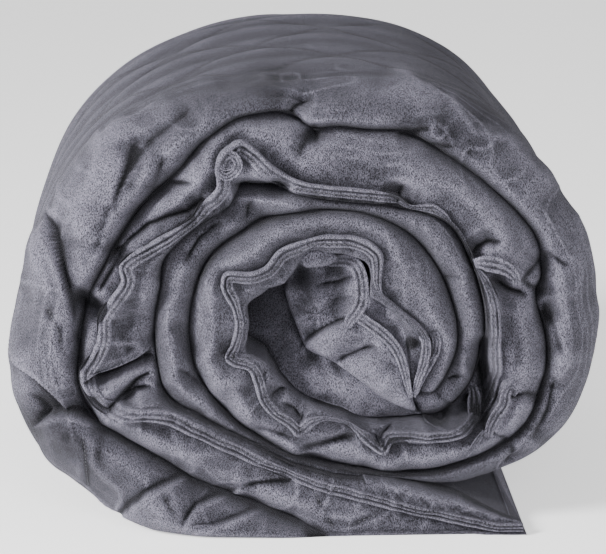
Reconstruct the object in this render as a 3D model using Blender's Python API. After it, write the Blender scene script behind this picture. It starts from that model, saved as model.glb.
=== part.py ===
"""Weighted blanket: a filled, quilted plush blanket, folded in three along its length and rolled up.

The roll lies on its side with its axis along Y. Its near end, at -Y, shows the fold wound as a
spiral: in each turn the hemmed layers lie inside and the plain outer fold lies outside. The inner
end of the blanket stands folded in the core, and the outer end runs out to +X as a flat tongue.

Turn angles are in degrees, anticlockwise from +X as seen from -Y, and grow outward along the
spiral. Radii and depths are in millimetres, and become metres where the points are made.
"""
import math

import bmesh
import bpy
from mathutils import Vector

MM = 0.001

# Driving dimensions
ROLL_LENGTH = 410.0          # a third of the blanket's width, with the folds' thickness
CENTRE_X = 11.0              # the spiral's centre, right of the middle of the roll
CENTRE_Z = 157.0             # the spiral's centre above the surface the roll lies on

# Stations along the spiral
STEP_DEG = 7.5
STATIONS_PER_TURN = 48
FIRST_DEG = -75.0            # the inner end of the winding, behind the folded core
LAST_DEG = 673.0             # the end of the tongue
LAST_STATION = 100
TONGUE_STATION = 96          # from here on the tongue parts from the turn above it

# The winding: a row for each section, radii in millimetres
SECTION_COLUMNS = ("turn_deg", "hem", "seam", "outer")
SECTIONS = (
    (-75, 71, 71, 71),
    (-45, 84, 92, 101),
    (-15, 84, 98, 117),
    (15, 76, 95, 118),
    (45, 66, 89, 111),
    (75, 60, 82, 91),
    (105, 61, 81, 99),
    (135, 64, 86, 107),
    (165, 66, 91, 118),
    (195, 64, 94, 118),
    (225, 65, 92, 102),
    (255, 75, 95, 101),
    (285, 87, 108, 115),
    (315, 122, 142, 158),
    (345, 130, 166, 198),
    (375, 119, 167, 200),
    (405, 117, 151, 189),
    (435, 97, 140, 175),
    (465, 107, 150, 172),
    (495, 115, 147, 190),
    (525, 142, 158, 210),
    (555, 163, 176, 227),
    (585, 117, 149, 202),
    (615, 106, 139, 163),
    (645, 128, 159, 163),
    (675, 208, 216, 222),
)

# The wall of the hollow core, inside the first turn
CORE_COLUMNS = ("turn_deg", "wall")
CORE_WALL = (
    (-75, 71), (-45, 76), (-15, 72), (15, 56), (45, 51), (75, 49), (105, 45),
    (135, 38), (165, 45), (195, 50), (225, 46), (255, 53), (285, 71),
)

# The tongue's upper side: its height above the surface
TONGUE_COLUMNS = ("turn_deg", "height")
TONGUE_TOP = ((645, 44), (652, 42), (660, 36), (667, 27), (673, 12))

# Folds and puckers: each moves one line of the winding, or the front of one layer.
# Columns: line or layer, turn_deg, half_width_deg, move
FOLDS = (
    ("hem", 158, 10, 8),
    ("hem", 200, 9, 6),
    ("hem", 262, 10, 7),
    ("hem", 342, 10, 12),
    ("hem", 388, 9, -6),
    ("hem", 475, 11, 27),
    ("hem", 508, 10, 6),
    ("hem", 552, 11, 8),
    ("seam", 364, 10, -8),
    ("seam", 451, 9, -8),
    ("seam", 478, 12, 6),
    ("inner puff", 300, 20, -9),
    ("inner puff", 490, 20, 9),
    ("inner puff", 545, 16, -6),
    ("inner puff", 560, 14, 12),
    ("outer puff", 150, 22, -5),
    ("outer puff", 345, 16, -6),
    ("outer puff", 372, 14, -8),
    ("outer puff", 385, 12, 7),
    ("outer puff", 420, 26, -6),
    ("outer puff", 475, 18, -8),
    ("outer puff", 590, 24, -6),
    ("outer fold", 364, 12, 7),
    ("outer fold", 445, 14, 8),
    ("outer fold", 505, 16, -5),
    ("outer fold", 545, 12, 7),
    ("outer fold", 575, 14, 8),
    ("outer fold", 600, 12, -4),
)

# The front of one section, from its inner side to its outer side. Each knot lies a share of the
# way between two lines, this many millimetres behind the front of the roll.
# Columns: low line, high line, share, layer, depth
FRONT_KNOTS = (
    ("inner", "hem inside", 0.0, "groove", 56),
    ("inner", "hem inside", 0.14, "groove", 24),
    ("inner", "hem inside", 0.46, "inner puff", 6),
    ("inner", "hem inside", 0.88, "inner puff", 10),
    ("inner", "hem inside", 1.0, "hem edge", -2),
    ("hem outside", "seam", 0.0, "hem edge", -2),
    ("hem outside", "seam", 0.12, "outer puff", 11),
    ("hem outside", "seam", 0.52, "outer puff", 3),
    ("hem outside", "seam", 0.88, "groove", 22),
    ("hem outside", "seam", 1.0, "groove", 50),
    ("seam", "outer", 0.12, "groove", 27),
    ("seam", "outer", 0.38, "outer fold", 10),
    ("seam", "outer", 0.68, "outer fold", 11),
    ("seam", "outer", 0.9, "outer fold", 24),
    ("seam", "outer", 1.0, "groove", 56),
)
BACK_KNOTS = (
    ("inner", "seam", 0.0, "groove", 40),
    ("inner", "seam", 0.16, "groove", 14),
    ("inner", "seam", 0.5, "back", 2),
    ("inner", "seam", 0.84, "back", 9),
    ("inner", "seam", 1.0, "groove", 18),
    ("seam", "outer", 0.35, "back", 7),
    ("seam", "outer", 0.8, "groove", 18),
    ("seam", "outer", 1.0, "groove", 40),
)
HEM_HALF_THICKNESS = 3.0     # two layers of cloth, sewn flat
LEAST_LAYER = 3.0            # where a layer dies out, so much of it is left
RIM_DEPTH = 28.0             # the outermost turn rounds off over this depth
LEAST_SLOPE = 0.3            # only turns that point down more steeply than this can reach the surface
START_DEPTH = 60.0           # the winding's inner end lies this far in
START_STATIONS = 6           # and comes forward over so many stations
TONGUE_END_DEPTH = 7.0       # the tongue's thin end rounds off over this depth
TONGUE_END_STATIONS = 6

# The rim, from the front to the back, with the quilting's diamonds raised in its points
RIM_ROWS = 16
DIAMOND = 6                  # stations, and rows, across one quilted diamond
PILLOW = 5.0                 # height of a diamond's middle above its sewn lines
SEWN_DEPTH = 5.0             # the sewn lines lie this far inside the rim's own radius
REST_HEIGHT = 14.0           # below this height the rim is pressed smooth by the blanket's weight
COVERED_STATIONS = 4         # the rim above the tongue, which stays plain
PLAIN_END_SHARE = 1 / 6      # of the rim's length at either end, where the quilting fades out
RIDGE_PITCH = 52.0           # soft ridges that run round the upper left of the rim
RIDGE_HEIGHT = 2.5
RIDGE_CENTRE_DEG = 495.0
RIDGE_HALF_WIDTH_DEG = 60.0
RIDGE_REACH = 1.5            # half widths from their middle to where they have faded out

# The hollow core: its floor is the first turn's face and rises toward the lower right.
# Columns: share of the wall's radius, how much deeper than the floor's own slope
HOLLOW = ((0.96, 4), (0.82, 0), (0.55, 0), (0.28, 0))
FLOOR_NEAR_DEPTH = 60.0      # of the hollow's floor at its lower right
FLOOR_FAR_DEPTH = 108.0      # and at its upper left
FLOOR_HALF_SPAN = 60.0       # from the centre to either
BACK_HOLLOW = ((0.6, 6),)
BACK_FLOOR_DEPTH = 24.0

# The folded inner end of the blanket, standing in the core: its outline as seen from the front.
# Columns: x, z, depth
CORE_FOLD = (
    (-13, 196, 34),
    (1, 206, 22),
    (36, 207, 10),
    (52, 190, 6),
    (70, 168, 6),
    (85, 146, 7),
    (88, 118, 12),
    (78, 94, 14),
    (58, 103, 13),
    (34, 118, 14),
    (14, 131, 20),
    (-2, 143, 28),
    (-6, 165, 32),
)
CORE_FOLD_CENTRE = (38, 154, 9)
CORE_FOLD_END_DEPTH = 150.0
# Rings of its front. Columns: share of the outline, how much deeper than the outline's own depth
CORE_FOLD_RINGS = ((0.45, -1), (0.8, 0), (0.94, 3), (1.0, 12))
CORE_FOLD_SMOOTH = 3         # points between two corners of the outline

# The hem along the folded inner end: paths on its front, x, z and depth of its edge
CORE_HEMS = (
    ((28, 204, 4), (38, 203, 0), (45, 190, 0), (44, 172, 3), (38, 161, 9)),
    ((42, 166, 3), (58, 155, -1), (69, 140, -2), (74, 122, 0), (76, 104, 5)),
)
CORE_HEM_FOOT_DEPTH = 24.0
CORE_HEM_TAPER = 0.35        # how thin the hem is at its foot

PLUSH_GREY = (0.135, 0.133, 0.155, 1.0)


def curve_value(rows, columns, name, turn_deg):
    """The smooth curve through a table's named column, at one turn angle."""
    column = columns.index(name)
    last = len(rows) - 1
    low = 0
    while low < last - 1 and rows[low + 1][0] <= turn_deg:
        low += 1
    before, after = rows[low], rows[low + 1]
    left = rows[max(low - 1, 0)]
    right = rows[min(low + 2, last)]
    span = after[0] - before[0]
    share = (turn_deg - before[0]) / span
    start_slope = (after[column] - left[column]) / (after[0] - left[0]) * span
    end_slope = (right[column] - before[column]) / (right[0] - before[0]) * span
    square, cube = share ** 2, share ** 3
    return (
        (2 * cube - 3 * square + 1) * before[column]
        + (cube - 2 * square + share) * start_slope
        + (3 * square - 2 * cube) * after[column]
        + (cube - square) * end_slope
    )


def smooth_step(share):
    """0 to 1 with level ends."""
    share = min(max(share, 0.0), 1.0)
    return share * share * (3 - 2 * share)


def fold_move(line, turn_deg):
    """How far the folds move one line or layer at a turn angle."""
    total = 0.0
    for name, centre_deg, half_width_deg, move in FOLDS:
        reach = abs(turn_deg - centre_deg) / half_width_deg
        if name == line and reach < 1:
            total += move * (0.5 + 0.5 * math.cos(math.pi * reach))
    return total


def station_deg(station):
    """Turn angle of a station."""
    return min(FIRST_DEG + STEP_DEG * station, LAST_DEG)


def floor_radius(turn_deg):
    """Radius at which a turn meets the surface that the roll lies on."""
    downward = -math.sin(math.radians(turn_deg))
    if downward < LEAST_SLOPE:
        return math.inf
    return CENTRE_Z / downward


def outer_radius(station):
    """Radius of the outer side of a turn, kept above the surface."""
    turn_deg = station_deg(station)
    seam = curve_value(SECTIONS, SECTION_COLUMNS, "seam", turn_deg)
    outer = max(curve_value(SECTIONS, SECTION_COLUMNS, "outer", turn_deg), seam + LEAST_LAYER)
    return min(outer, floor_radius(turn_deg))


def inner_radius(station):
    """Radius of the inner side of a turn: the core's wall, the turn inside it, or the tongue's top."""
    turn_deg = station_deg(station)
    if station <= STATIONS_PER_TURN:
        return curve_value(CORE_WALL, CORE_COLUMNS, "wall", turn_deg)
    if station <= TONGUE_STATION:
        return outer_radius(station - STATIONS_PER_TURN)
    height = curve_value(TONGUE_TOP, TONGUE_COLUMNS, "height", turn_deg)
    return (CENTRE_Z - height) / -math.sin(math.radians(turn_deg))


def section_lines(station):
    """Radii of one section's lines, in order and never closer than the least layer."""
    turn_deg = station_deg(station)
    inner = inner_radius(station)
    outer = outer_radius(station)
    seam = curve_value(SECTIONS, SECTION_COLUMNS, "seam", turn_deg) + fold_move("seam", turn_deg)
    hem = curve_value(SECTIONS, SECTION_COLUMNS, "hem", turn_deg) + fold_move("hem", turn_deg)
    seam = min(seam, outer - LEAST_LAYER)
    thickness = min(HEM_HALF_THICKNESS, (seam - inner) / 6)
    hem = min(max(hem, inner + 2 * thickness), seam - 2 * thickness)
    return {
        "inner": inner,
        "hem inside": hem - thickness,
        "hem outside": hem + thickness,
        "seam": seam,
        "outer": outer,
    }


def knot_depth(layer, depth, station, on_rim):
    """Depth of a knot behind its end of the roll."""
    turn_deg = station_deg(station)
    depth -= fold_move(layer, turn_deg)
    if on_rim:
        depth = min(depth, RIM_DEPTH)
    start = smooth_step(station / START_STATIONS)
    end = smooth_step((LAST_STATION - station) / TONGUE_END_STATIONS)
    depth = START_DEPTH + (depth - START_DEPTH) * start
    return TONGUE_END_DEPTH + (depth - TONGUE_END_DEPTH) * end


def spiral_point(turn_deg, radius, y):
    """A point in millimetres from the roll's own cylinder coordinates."""
    angle = math.radians(turn_deg)
    return (CENTRE_X + radius * math.cos(angle), y, CENTRE_Z + radius * math.sin(angle))


def rim_radius(station, row, depth_share):
    """Radius of the outermost turn: its own radius, the quilted diamonds and the soft ridges."""
    turn_deg = station_deg(station)
    across = (station + row) / DIAMOND
    back = (station - row) / DIAMOND
    pillow = abs(math.sin(math.pi * across) * math.sin(math.pi * back)) ** 0.5
    ends = min(1.0, min(depth_share, 1 - depth_share) / PLAIN_END_SHARE)
    ends *= smooth_step((station - TONGUE_STATION + STATIONS_PER_TURN - COVERED_STATIONS) / COVERED_STATIONS)
    near_ridges = abs(turn_deg - RIDGE_CENTRE_DEG) / RIDGE_HALF_WIDTH_DEG
    ridge = math.cos(2 * math.pi * depth_share * ROLL_LENGTH / RIDGE_PITCH)
    ridge *= RIDGE_HEIGHT * smooth_step(RIDGE_REACH - near_ridges)
    height = CENTRE_Z + outer_radius(station) * math.sin(math.radians(turn_deg))
    ends *= smooth_step(height / REST_HEIGHT)
    radius = outer_radius(station) + ends * (PILLOW * pillow - SEWN_DEPTH + ridge)
    return min(radius, floor_radius(turn_deg))


def front_floor_depth(turn_deg, radius):
    """Depth of the front hollow's floor, which slopes from the lower right to the upper left."""
    toward_upper_left = radius * math.cos(math.radians(turn_deg - 135))
    share = smooth_step(0.5 + 0.5 * toward_upper_left / FLOOR_HALF_SPAN)
    return FLOOR_NEAR_DEPTH + (FLOOR_FAR_DEPTH - FLOOR_NEAR_DEPTH) * share


def back_floor_depth(turn_deg, radius):
    """Depth of the shallow hollow at the back, which is level."""
    return BACK_FLOOR_DEPTH


class Winding:
    """Builds the closed skin of the roll, end by end, and the rim between the ends."""

    def __init__(self):
        self.mesh = bmesh.new()

    def add_point(self, point):
        return self.mesh.verts.new([value * MM for value in point])

    def add_face(self, *corners):
        """A face without repeated corners; fewer than three make none."""
        ring = [corner for index, corner in enumerate(corners) if corner is not corners[index - 1]]
        if len(ring) > 2:
            self.mesh.faces.new(ring)

    def end_points(self, knots, end_sign):
        """The points of one end of the roll, by station and knot; turns that touch share theirs."""
        points = {}
        last_knot = len(knots) - 1
        for station in range(LAST_STATION + 1):
            lines = section_lines(station)
            for index, (low, high, share, layer, depth) in enumerate(knots):
                inside = station - STATIONS_PER_TURN
                if index == 0 and station == STATIONS_PER_TURN:
                    points[station, 0] = points[0, 0]
                    continue
                if index == 0 and STATIONS_PER_TURN < station <= TONGUE_STATION:
                    points[station, 0] = points[inside, last_knot]
                    continue
                if station == 0 and index > 0:
                    points[station, index] = points[0, 0]
                    continue
                on_rim = index == last_knot and station > TONGUE_STATION - STATIONS_PER_TURN
                on_rim = on_rim or (index == 0 and station > TONGUE_STATION)
                radius = lines[low] + share * (lines[high] - lines[low])
                y = end_sign * (ROLL_LENGTH / 2 - knot_depth(layer, depth, station, on_rim))
                points[station, index] = self.add_point(spiral_point(station_deg(station), radius, y))
        return points

    def end_skin(self, points, last_knot, end_sign):
        """The faces of one end."""
        for station in range(LAST_STATION):
            for knot in range(last_knot):
                ring = [
                    points[station, knot],
                    points[station, knot + 1],
                    points[station + 1, knot + 1],
                    points[station + 1, knot],
                ]
                self.add_face(*(ring if end_sign < 0 else reversed(ring)))

    def hollow(self, points, rings, floor_depth, end_sign):
        """The hollow of the core at one end, closed by its floor."""
        outline = [points[station, 0] for station in range(STATIONS_PER_TURN)]
        for share, deeper in rings:
            ring = []
            for station in range(STATIONS_PER_TURN):
                radius = share * inner_radius(station)
                y = end_sign * (ROLL_LENGTH / 2 - floor_depth(station_deg(station), radius) - deeper)
                ring.append(self.add_point(spiral_point(station_deg(station), radius, y)))
            self.join_rings(outline, ring, end_sign)
            outline = ring
        y = end_sign * (ROLL_LENGTH / 2 - floor_depth(0, 0))
        middle = self.add_point(spiral_point(0, 0, y))
        self.join_rings(outline, [middle] * STATIONS_PER_TURN, end_sign)

    def join_rings(self, outside, inside, end_sign):
        """Faces between two closed rings of the hollow."""
        for index in range(STATIONS_PER_TURN):
            after = (index + 1) % STATIONS_PER_TURN
            ring = [outside[index], outside[after], inside[after], inside[index]]
            self.add_face(*(ring if end_sign < 0 else reversed(ring)))

    def rim_column(self, station, front, back, tongue_top):
        """Points from the front to the back along the rim at one station."""
        column = [front]
        for row in range(1, RIM_ROWS):
            share = row / RIM_ROWS
            y = (front.co.y + share * (back.co.y - front.co.y)) / MM
            radius = inner_radius(station) if tongue_top else rim_radius(station, row, share)
            column.append(self.add_point(spiral_point(station_deg(station), radius, y)))
        column.append(back)
        return column

    def rim(self, front_points, back_points):
        """The rim from end to end, round the outermost turn and over the tongue's top."""
        front_last = len(FRONT_KNOTS) - 1
        back_last = len(BACK_KNOTS) - 1
        first = TONGUE_STATION - STATIONS_PER_TURN
        stations = range(first, LAST_STATION + 1)
        outer = [
            self.rim_column(number, front_points[number, front_last], back_points[number, back_last], False)
            for number in stations
        ]
        for number, (column, following) in enumerate(zip(outer, outer[1:]), start=first):
            self.rim_strip(column, following, number)
        top = [outer[0]]
        for number in range(TONGUE_STATION + 1, LAST_STATION + 1):
            top.append(self.rim_column(number, front_points[number, 0], back_points[number, 0], True))
        for column, following in zip(top, top[1:]):
            self.rim_strip(following, column, 0)
        front_edge = [front_points[LAST_STATION, knot] for knot in range(1, front_last)]
        back_edge = [back_points[LAST_STATION, knot] for knot in range(back_last - 1, 0, -1)]
        self.add_face(*top[-1][::-1], *front_edge, *outer[-1], *back_edge)

    def rim_strip(self, column, following, station):
        """One strip of the rim, cut into triangles along the sewn lines of the diamonds."""
        for row in range(RIM_ROWS):
            near, far = column[row], column[row + 1]
            next_near, next_far = following[row], following[row + 1]
            if (station + row + 1) % DIAMOND == 0:
                self.add_face(near, far, next_near)
                self.add_face(far, next_far, next_near)
            else:
                self.add_face(near, far, next_far)
                self.add_face(near, next_far, next_near)


def outline_through(corners, smooth):
    """A closed smooth outline through corners given as (x, z, depth)."""
    count = len(corners)
    outline = []
    for index in range(count):
        before, start, end, after = (corners[(index + offset) % count] for offset in (-1, 0, 1, 2))
        for part in range(smooth):
            share = part / smooth
            square, cube = share ** 2, share ** 3
            outline.append([
                0.5 * (
                    2 * start[axis]
                    + (end[axis] - before[axis]) * share
                    + (2 * before[axis] - 5 * start[axis] + 4 * end[axis] - after[axis]) * square
                    + (3 * start[axis] - before[axis] - 3 * end[axis] + after[axis]) * cube
                )
                for axis in range(3)
            ])
    return outline


def front_y(depth):
    """Height along Y of a point this far behind the near end."""
    return depth - ROLL_LENGTH / 2


def core_fold_mesh():
    """The folded inner end of the blanket: a soft wedge that stands in the core."""
    mesh = bmesh.new()
    outline = outline_through(CORE_FOLD, CORE_FOLD_SMOOTH)
    centre_x, centre_z, centre_depth = CORE_FOLD_CENTRE
    rings = []
    for share, deeper in CORE_FOLD_RINGS:
        ring = []
        for x, z, depth in outline:
            here = centre_depth + (depth - centre_depth) * share + deeper
            place = (centre_x + (x - centre_x) * share, front_y(here), centre_z + (z - centre_z) * share)
            ring.append(mesh.verts.new([value * MM for value in place]))
        rings.append(ring)
    rings.append([
        mesh.verts.new([value * MM for value in (x, front_y(CORE_FOLD_END_DEPTH), z)]) for x, z, _ in outline
    ])
    middle = mesh.verts.new([value * MM for value in (centre_x, front_y(centre_depth), centre_z)])
    count = len(outline)
    for index in range(count):
        after = (index + 1) % count
        mesh.faces.new((middle, rings[0][index], rings[0][after]))
        for inside, outside in zip(rings, rings[1:]):
            mesh.faces.new((inside[index], outside[index], outside[after], inside[after]))
    mesh.faces.new(rings[-1][::-1])
    return mesh


def core_hem_mesh(path):
    """A strip of the hem that stands up from the folded inner end."""
    mesh = bmesh.new()
    profiles = []
    for index, (x, z, depth) in enumerate(path):
        before = path[max(index - 1, 0)]
        after = path[min(index + 1, len(path) - 1)]
        along = math.hypot(after[0] - before[0], after[1] - before[1])
        side_x = -(after[1] - before[1]) / along * HEM_HALF_THICKNESS
        side_z = (after[0] - before[0]) / along * HEM_HALF_THICKNESS
        profile = []
        for side, height in ((1, depth), (-1, depth), (-CORE_HEM_TAPER, CORE_HEM_FOOT_DEPTH),
                             (CORE_HEM_TAPER, CORE_HEM_FOOT_DEPTH)):
            place = (x + side * side_x, front_y(height), z + side * side_z)
            profile.append(mesh.verts.new([value * MM for value in place]))
        profiles.append(profile)
    for profile, following in zip(profiles, profiles[1:]):
        for corner in range(4):
            after = (corner + 1) % 4
            mesh.faces.new((profile[corner], following[corner], following[after], profile[after]))
    mesh.faces.new(profiles[0])
    mesh.faces.new(profiles[-1][::-1])
    return mesh


def make_object(name, mesh, material=None):
    """An object from a finished bmesh, with its faces turned outward."""
    bmesh.ops.recalc_face_normals(mesh, faces=mesh.faces)
    data = bpy.data.meshes.new(name)
    mesh.to_mesh(data)
    mesh.free()
    data.shade_smooth()
    if material:
        data.materials.append(material)
    result = bpy.data.objects.new(name, data)
    bpy.context.scene.collection.objects.link(result)
    return result


def join_solid(body, guide):
    """Joins a guide's shape to the body, and hides the guide."""
    guide.parent = body
    guide.hide_render = True
    guide.display_type = "WIRE"
    union = body.modifiers.new(guide.name, "BOOLEAN")
    union.operation = "UNION"
    union.solver = "EXACT"
    union.object = guide


def plush_material():
    """Grey plush, quite rough."""
    material = bpy.data.materials.new("plush_grey")
    material.use_nodes = True
    shader = material.node_tree.nodes["Principled BSDF"]
    shader.inputs["Base Color"].default_value = PLUSH_GREY
    shader.inputs["Roughness"].default_value = 0.9
    shader.inputs["Metallic"].default_value = 0.0
    return material


def rolled_blanket():
    """The whole blanket, as one closed solid."""
    winding = Winding()
    front_points = winding.end_points(FRONT_KNOTS, -1)
    back_points = winding.end_points(BACK_KNOTS, 1)
    winding.end_skin(front_points, len(FRONT_KNOTS) - 1, -1)
    winding.end_skin(back_points, len(BACK_KNOTS) - 1, 1)
    winding.hollow(front_points, HOLLOW, front_floor_depth, -1)
    winding.hollow(back_points, BACK_HOLLOW, back_floor_depth, 1)
    winding.rim(front_points, back_points)
    blanket = make_object("rolled_blanket", winding.mesh, plush_material())
    core_fold = make_object("core_fold", core_fold_mesh())
    for number, path in enumerate(CORE_HEMS, start=1):
        join_solid(core_fold, make_object(f"core_hem_{number}", core_hem_mesh(path)))
    join_solid(blanket, core_fold)
    return blanket


def centre_over_origin(body):
    """Moves the finished solid so that the middle of its underside is the origin."""
    bpy.context.view_layer.update()
    finished = body.evaluated_get(bpy.context.evaluated_depsgraph_get())
    corners = [finished.matrix_world @ Vector(corner) for corner in finished.bound_box]
    low = [min(corner[axis] for corner in corners) for axis in range(3)]
    high = [max(corner[axis] for corner in corners) for axis in range(3)]
    body.location -= Vector(((low[0] + high[0]) / 2, (low[1] + high[1]) / 2, low[2]))


for old in list(bpy.data.objects):
    bpy.data.objects.remove(old, do_unlink=True)
centre_over_origin(rolled_blanket())
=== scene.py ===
"""Looks of the rolled weighted blanket: its plush skin, folds, hem, quilting, light and camera.

The skin follows the same double spiral as the CAD solid: hemmed layers inside, plain outer fold
outside, two turns and a tongue. Lengths are in millimetres, turn angles in degrees anticlockwise
from +X as the camera sees them, depths are behind the near end, and points become metres last.
"""
import math

import bmesh
import bpy
import numpy as np
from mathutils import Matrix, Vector
from mathutils.geometry import delaunay_2d_cdt


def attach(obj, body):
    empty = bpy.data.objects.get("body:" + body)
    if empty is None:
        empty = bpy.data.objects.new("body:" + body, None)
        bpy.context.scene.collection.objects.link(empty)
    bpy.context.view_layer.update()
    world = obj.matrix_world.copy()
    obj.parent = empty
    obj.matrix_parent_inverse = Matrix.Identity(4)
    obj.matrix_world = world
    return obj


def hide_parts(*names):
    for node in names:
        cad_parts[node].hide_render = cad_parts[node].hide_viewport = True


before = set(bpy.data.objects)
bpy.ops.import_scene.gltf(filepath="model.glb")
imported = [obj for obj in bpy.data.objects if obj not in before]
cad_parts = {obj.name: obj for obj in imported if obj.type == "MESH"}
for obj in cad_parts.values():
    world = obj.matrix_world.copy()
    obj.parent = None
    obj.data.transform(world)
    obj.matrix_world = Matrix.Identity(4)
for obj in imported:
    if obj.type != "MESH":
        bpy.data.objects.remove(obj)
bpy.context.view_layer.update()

MM = 0.001

# ------------------------------------------------------------------ camera and photograph

PHOTO_WIDTH, PHOTO_HEIGHT = 606, 554
FOCAL_PX = 2995.0
SENSOR_MM = 36.0
ELEVATION_DEG = 12.7
YAW_DEG = 2.5
NEAR_END_PX = (305.4, 318.0)                 # middle of the near end in the photograph
NEAR_END_Z = 162.0                           # and its height above the surface
CAMERA_DISTANCE = 2100.0                     # from there to the camera
PX_MM = 0.7                                  # millimetres in a pixel, at the near end

ROLL_LENGTH = 410.0
NEAR_Y = -201.5                              # the near end, from which depths are counted
CENTRE_X, CENTRE_Z = 11.0, 157.0             # the spiral's centre
CENTRE_PX = (320.0, 325.0)                   # and where the photograph shows it


def camera_axes():
    """The camera's right, up and forward directions."""
    yaw, fall = math.radians(YAW_DEG), math.radians(ELEVATION_DEG)
    forward = np.array([math.sin(yaw) * math.cos(fall), math.cos(yaw) * math.cos(fall), -math.sin(fall)])
    right = np.array([math.cos(yaw), -math.sin(yaw), 0.0])
    return right, np.cross(right, forward), forward


CAMERA_RIGHT, CAMERA_UP, CAMERA_FORWARD = camera_axes()


def pixel_ray(px, py):
    """Direction through a pixel of the photograph."""
    across = (np.asarray(px, float) - PHOTO_WIDTH / 2) / FOCAL_PX
    down = (np.asarray(py, float) - PHOTO_HEIGHT / 2) / FOCAL_PX
    return CAMERA_FORWARD + across[..., None] * CAMERA_RIGHT - down[..., None] * CAMERA_UP


def camera_place():
    """Where the camera stands, from what it shows of the near end."""
    ray = pixel_ray(*NEAR_END_PX)
    near_middle = np.array([0.0, NEAR_Y, NEAR_END_Z])
    return near_middle - ray / np.linalg.norm(ray) * CAMERA_DISTANCE


CAMERA_PLACE = camera_place()


def placed(px, py, depth):
    """Points in millimetres of pixels, each this far behind the near end."""
    ray = pixel_ray(px, py)
    reach = (NEAR_Y + depth - CAMERA_PLACE[1]) / ray[..., 1]
    return CAMERA_PLACE + reach[..., None] * ray


def photo_places(points):
    """Where the photograph shows points, in pixels."""
    offset = points - CAMERA_PLACE
    away = offset @ CAMERA_FORWARD
    px = PHOTO_WIDTH / 2 + FOCAL_PX * (offset @ CAMERA_RIGHT) / away
    py = PHOTO_HEIGHT / 2 - FOCAL_PX * (offset @ CAMERA_UP) / away
    return px, py


# ------------------------------------------------------------------ the lines of the winding

# Turn angle and distance from the centre in pixels, as the photograph shows each line
SEAM_PX = (
    (-45, 140), (-42, 132), (-30, 136), (-8, 140), (13, 134), (40, 127), (65, 120), (96, 113), (128, 118),
    (146, 125), (170, 129), (197, 133), (228, 130), (248, 132), (266, 139), (281, 150), (294, 165),
    (308, 189), (318, 206), (330, 229), (343, 235), (354, 232), (359, 227), (364, 222), (370, 231),
    (380, 235), (388, 228), (396, 220), (412, 210), (427, 207), (436, 199), (447, 196), (451, 192),
    (457, 209), (468, 220), (483, 215), (492, 207), (499, 205), (507, 211), (520, 218), (533, 232),
    (544, 240), (555, 249), (564, 246), (569, 234), (578, 216), (594, 204), (609, 196), (624, 200),
    (633, 209), (654, 240), (674, 296),
)
OUTER_PX = (
    (-45, 140), (-42, 146), (-32, 160), (-15, 166), (5, 166), (24, 164), (38, 164), (56, 143), (77, 128),
    (99, 134), (109, 147), (118, 157), (127, 150), (138, 154), (158, 169), (168, 164), (182, 165),
    (195, 168), (206, 170), (217, 152), (244, 136), (260, 142), (274, 150), (297, 175), (318, 236),
    (327, 260), (339, 279), (353, 288), (370, 287), (384, 279), (392, 272), (408, 267), (420, 258),
    (435, 246), (450, 240), (465, 243), (480, 253), (500, 275), (515, 289), (531, 299), (543, 312),
    (553, 321), (564, 321), (576, 303), (591, 272), (599, 254), (612, 236), (626, 224), (640, 217),
    (654, 243), (674, 299),
)
HEM_PX = (
    (-45, 140), (-42, 129), (-36, 124), (-25, 119), (-10, 113), (-2, 102), (6, 88), (16, 76), (27, 70),
    (34, 74), (42, 84), (47, 92), (56, 96), (66, 94), (78, 90), (90, 87), (103, 84), (120, 83), (135, 79),
    (145, 90), (151, 106), (158, 106), (170, 89), (187, 86), (194, 92), (200, 101), (206, 96), (212, 86),
    (222, 88), (233, 98), (242, 103), (252, 108), (260, 114), (267, 101), (273, 97), (282, 102),
    (287, 111), (291, 129), (295, 143), (302, 142), (310, 155), (324, 187), (333, 197), (343, 191),
    (352, 183), (360, 181), (368, 180), (374, 176), (380, 168), (387, 165), (394, 165), (401, 168),
    (406, 165), (412, 151), (418, 150), (433, 141), (448, 139), (457, 144), (463.5, 156), (467.5, 171),
    (470.3, 187), (472.5, 199), (477, 201), (481, 197), (483.8, 187), (486, 174), (489.5, 169),
    (494, 170), (500, 167), (506, 173), (512, 184), (516.5, 193), (520, 203), (523.5, 209), (527.5, 203),
    (533, 211), (538, 221), (545, 224), (548, 232), (551.5, 245), (556, 245), (562, 234), (570.7, 188),
    (580, 170), (593.5, 158), (607, 155), (620, 159), (632, 168), (642, 180), (653, 203), (663.3, 237),
    (669.5, 267), (674, 295),
)
# The wall of the hollow core, inside the first turn
CORE_PX = (
    (-45, 140), (-42, 126), (-38, 117), (-29, 104), (-20, 94), (-3, 83), (7, 76), (18, 66), (29, 58),
    (36, 62), (43, 70), (55, 78), (61, 77), (80, 73), (104, 71), (108, 65), (127, 54), (145, 58),
    (158, 66), (163, 74), (177, 71), (190, 74), (200, 78), (206, 72), (213, 66), (222, 66), (238, 70),
    (257, 79), (268, 83), (277, 88), (286, 96), (292, 107), (300, 119), (307, 130), (315, 140),
)
# Height of the tongue's top above the surface, in millimetres
TONGUE_TOP = ((645, 44), (652, 42), (660, 36), (667, 27), (673, 12))

FIRST_DEG, LAST_DEG = -45, 673.5
TURN_DEG = 360
TONGUE_DEG = 645                             # from here on the tongue parts from the turn above it
TURN = 900                                   # stations in a turn
RIM_TURNS = (TONGUE_DEG - TURN_DEG, TONGUE_DEG - TURN_DEG + 30)      # where the rim starts, and is full
LEAST_LAYER = 2.5
HEM_CLEAR = (3.0, 2.0)                       # least distance of the hem from the lines in- and outside it
LIP_DEPTH = 10.0                             # where the creases are seen, behind the near end
LEAST_FALL = 0.3                             # a turn angle that falls less doesn't meet the surface
FINE_STEPS, FINE_DEG = 3600, 0.1             # steps in a turn by which the stations are spaced out
LINE_SPEEDS = (0.8, 6.0)                     # least and most that a line's run counts for


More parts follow.
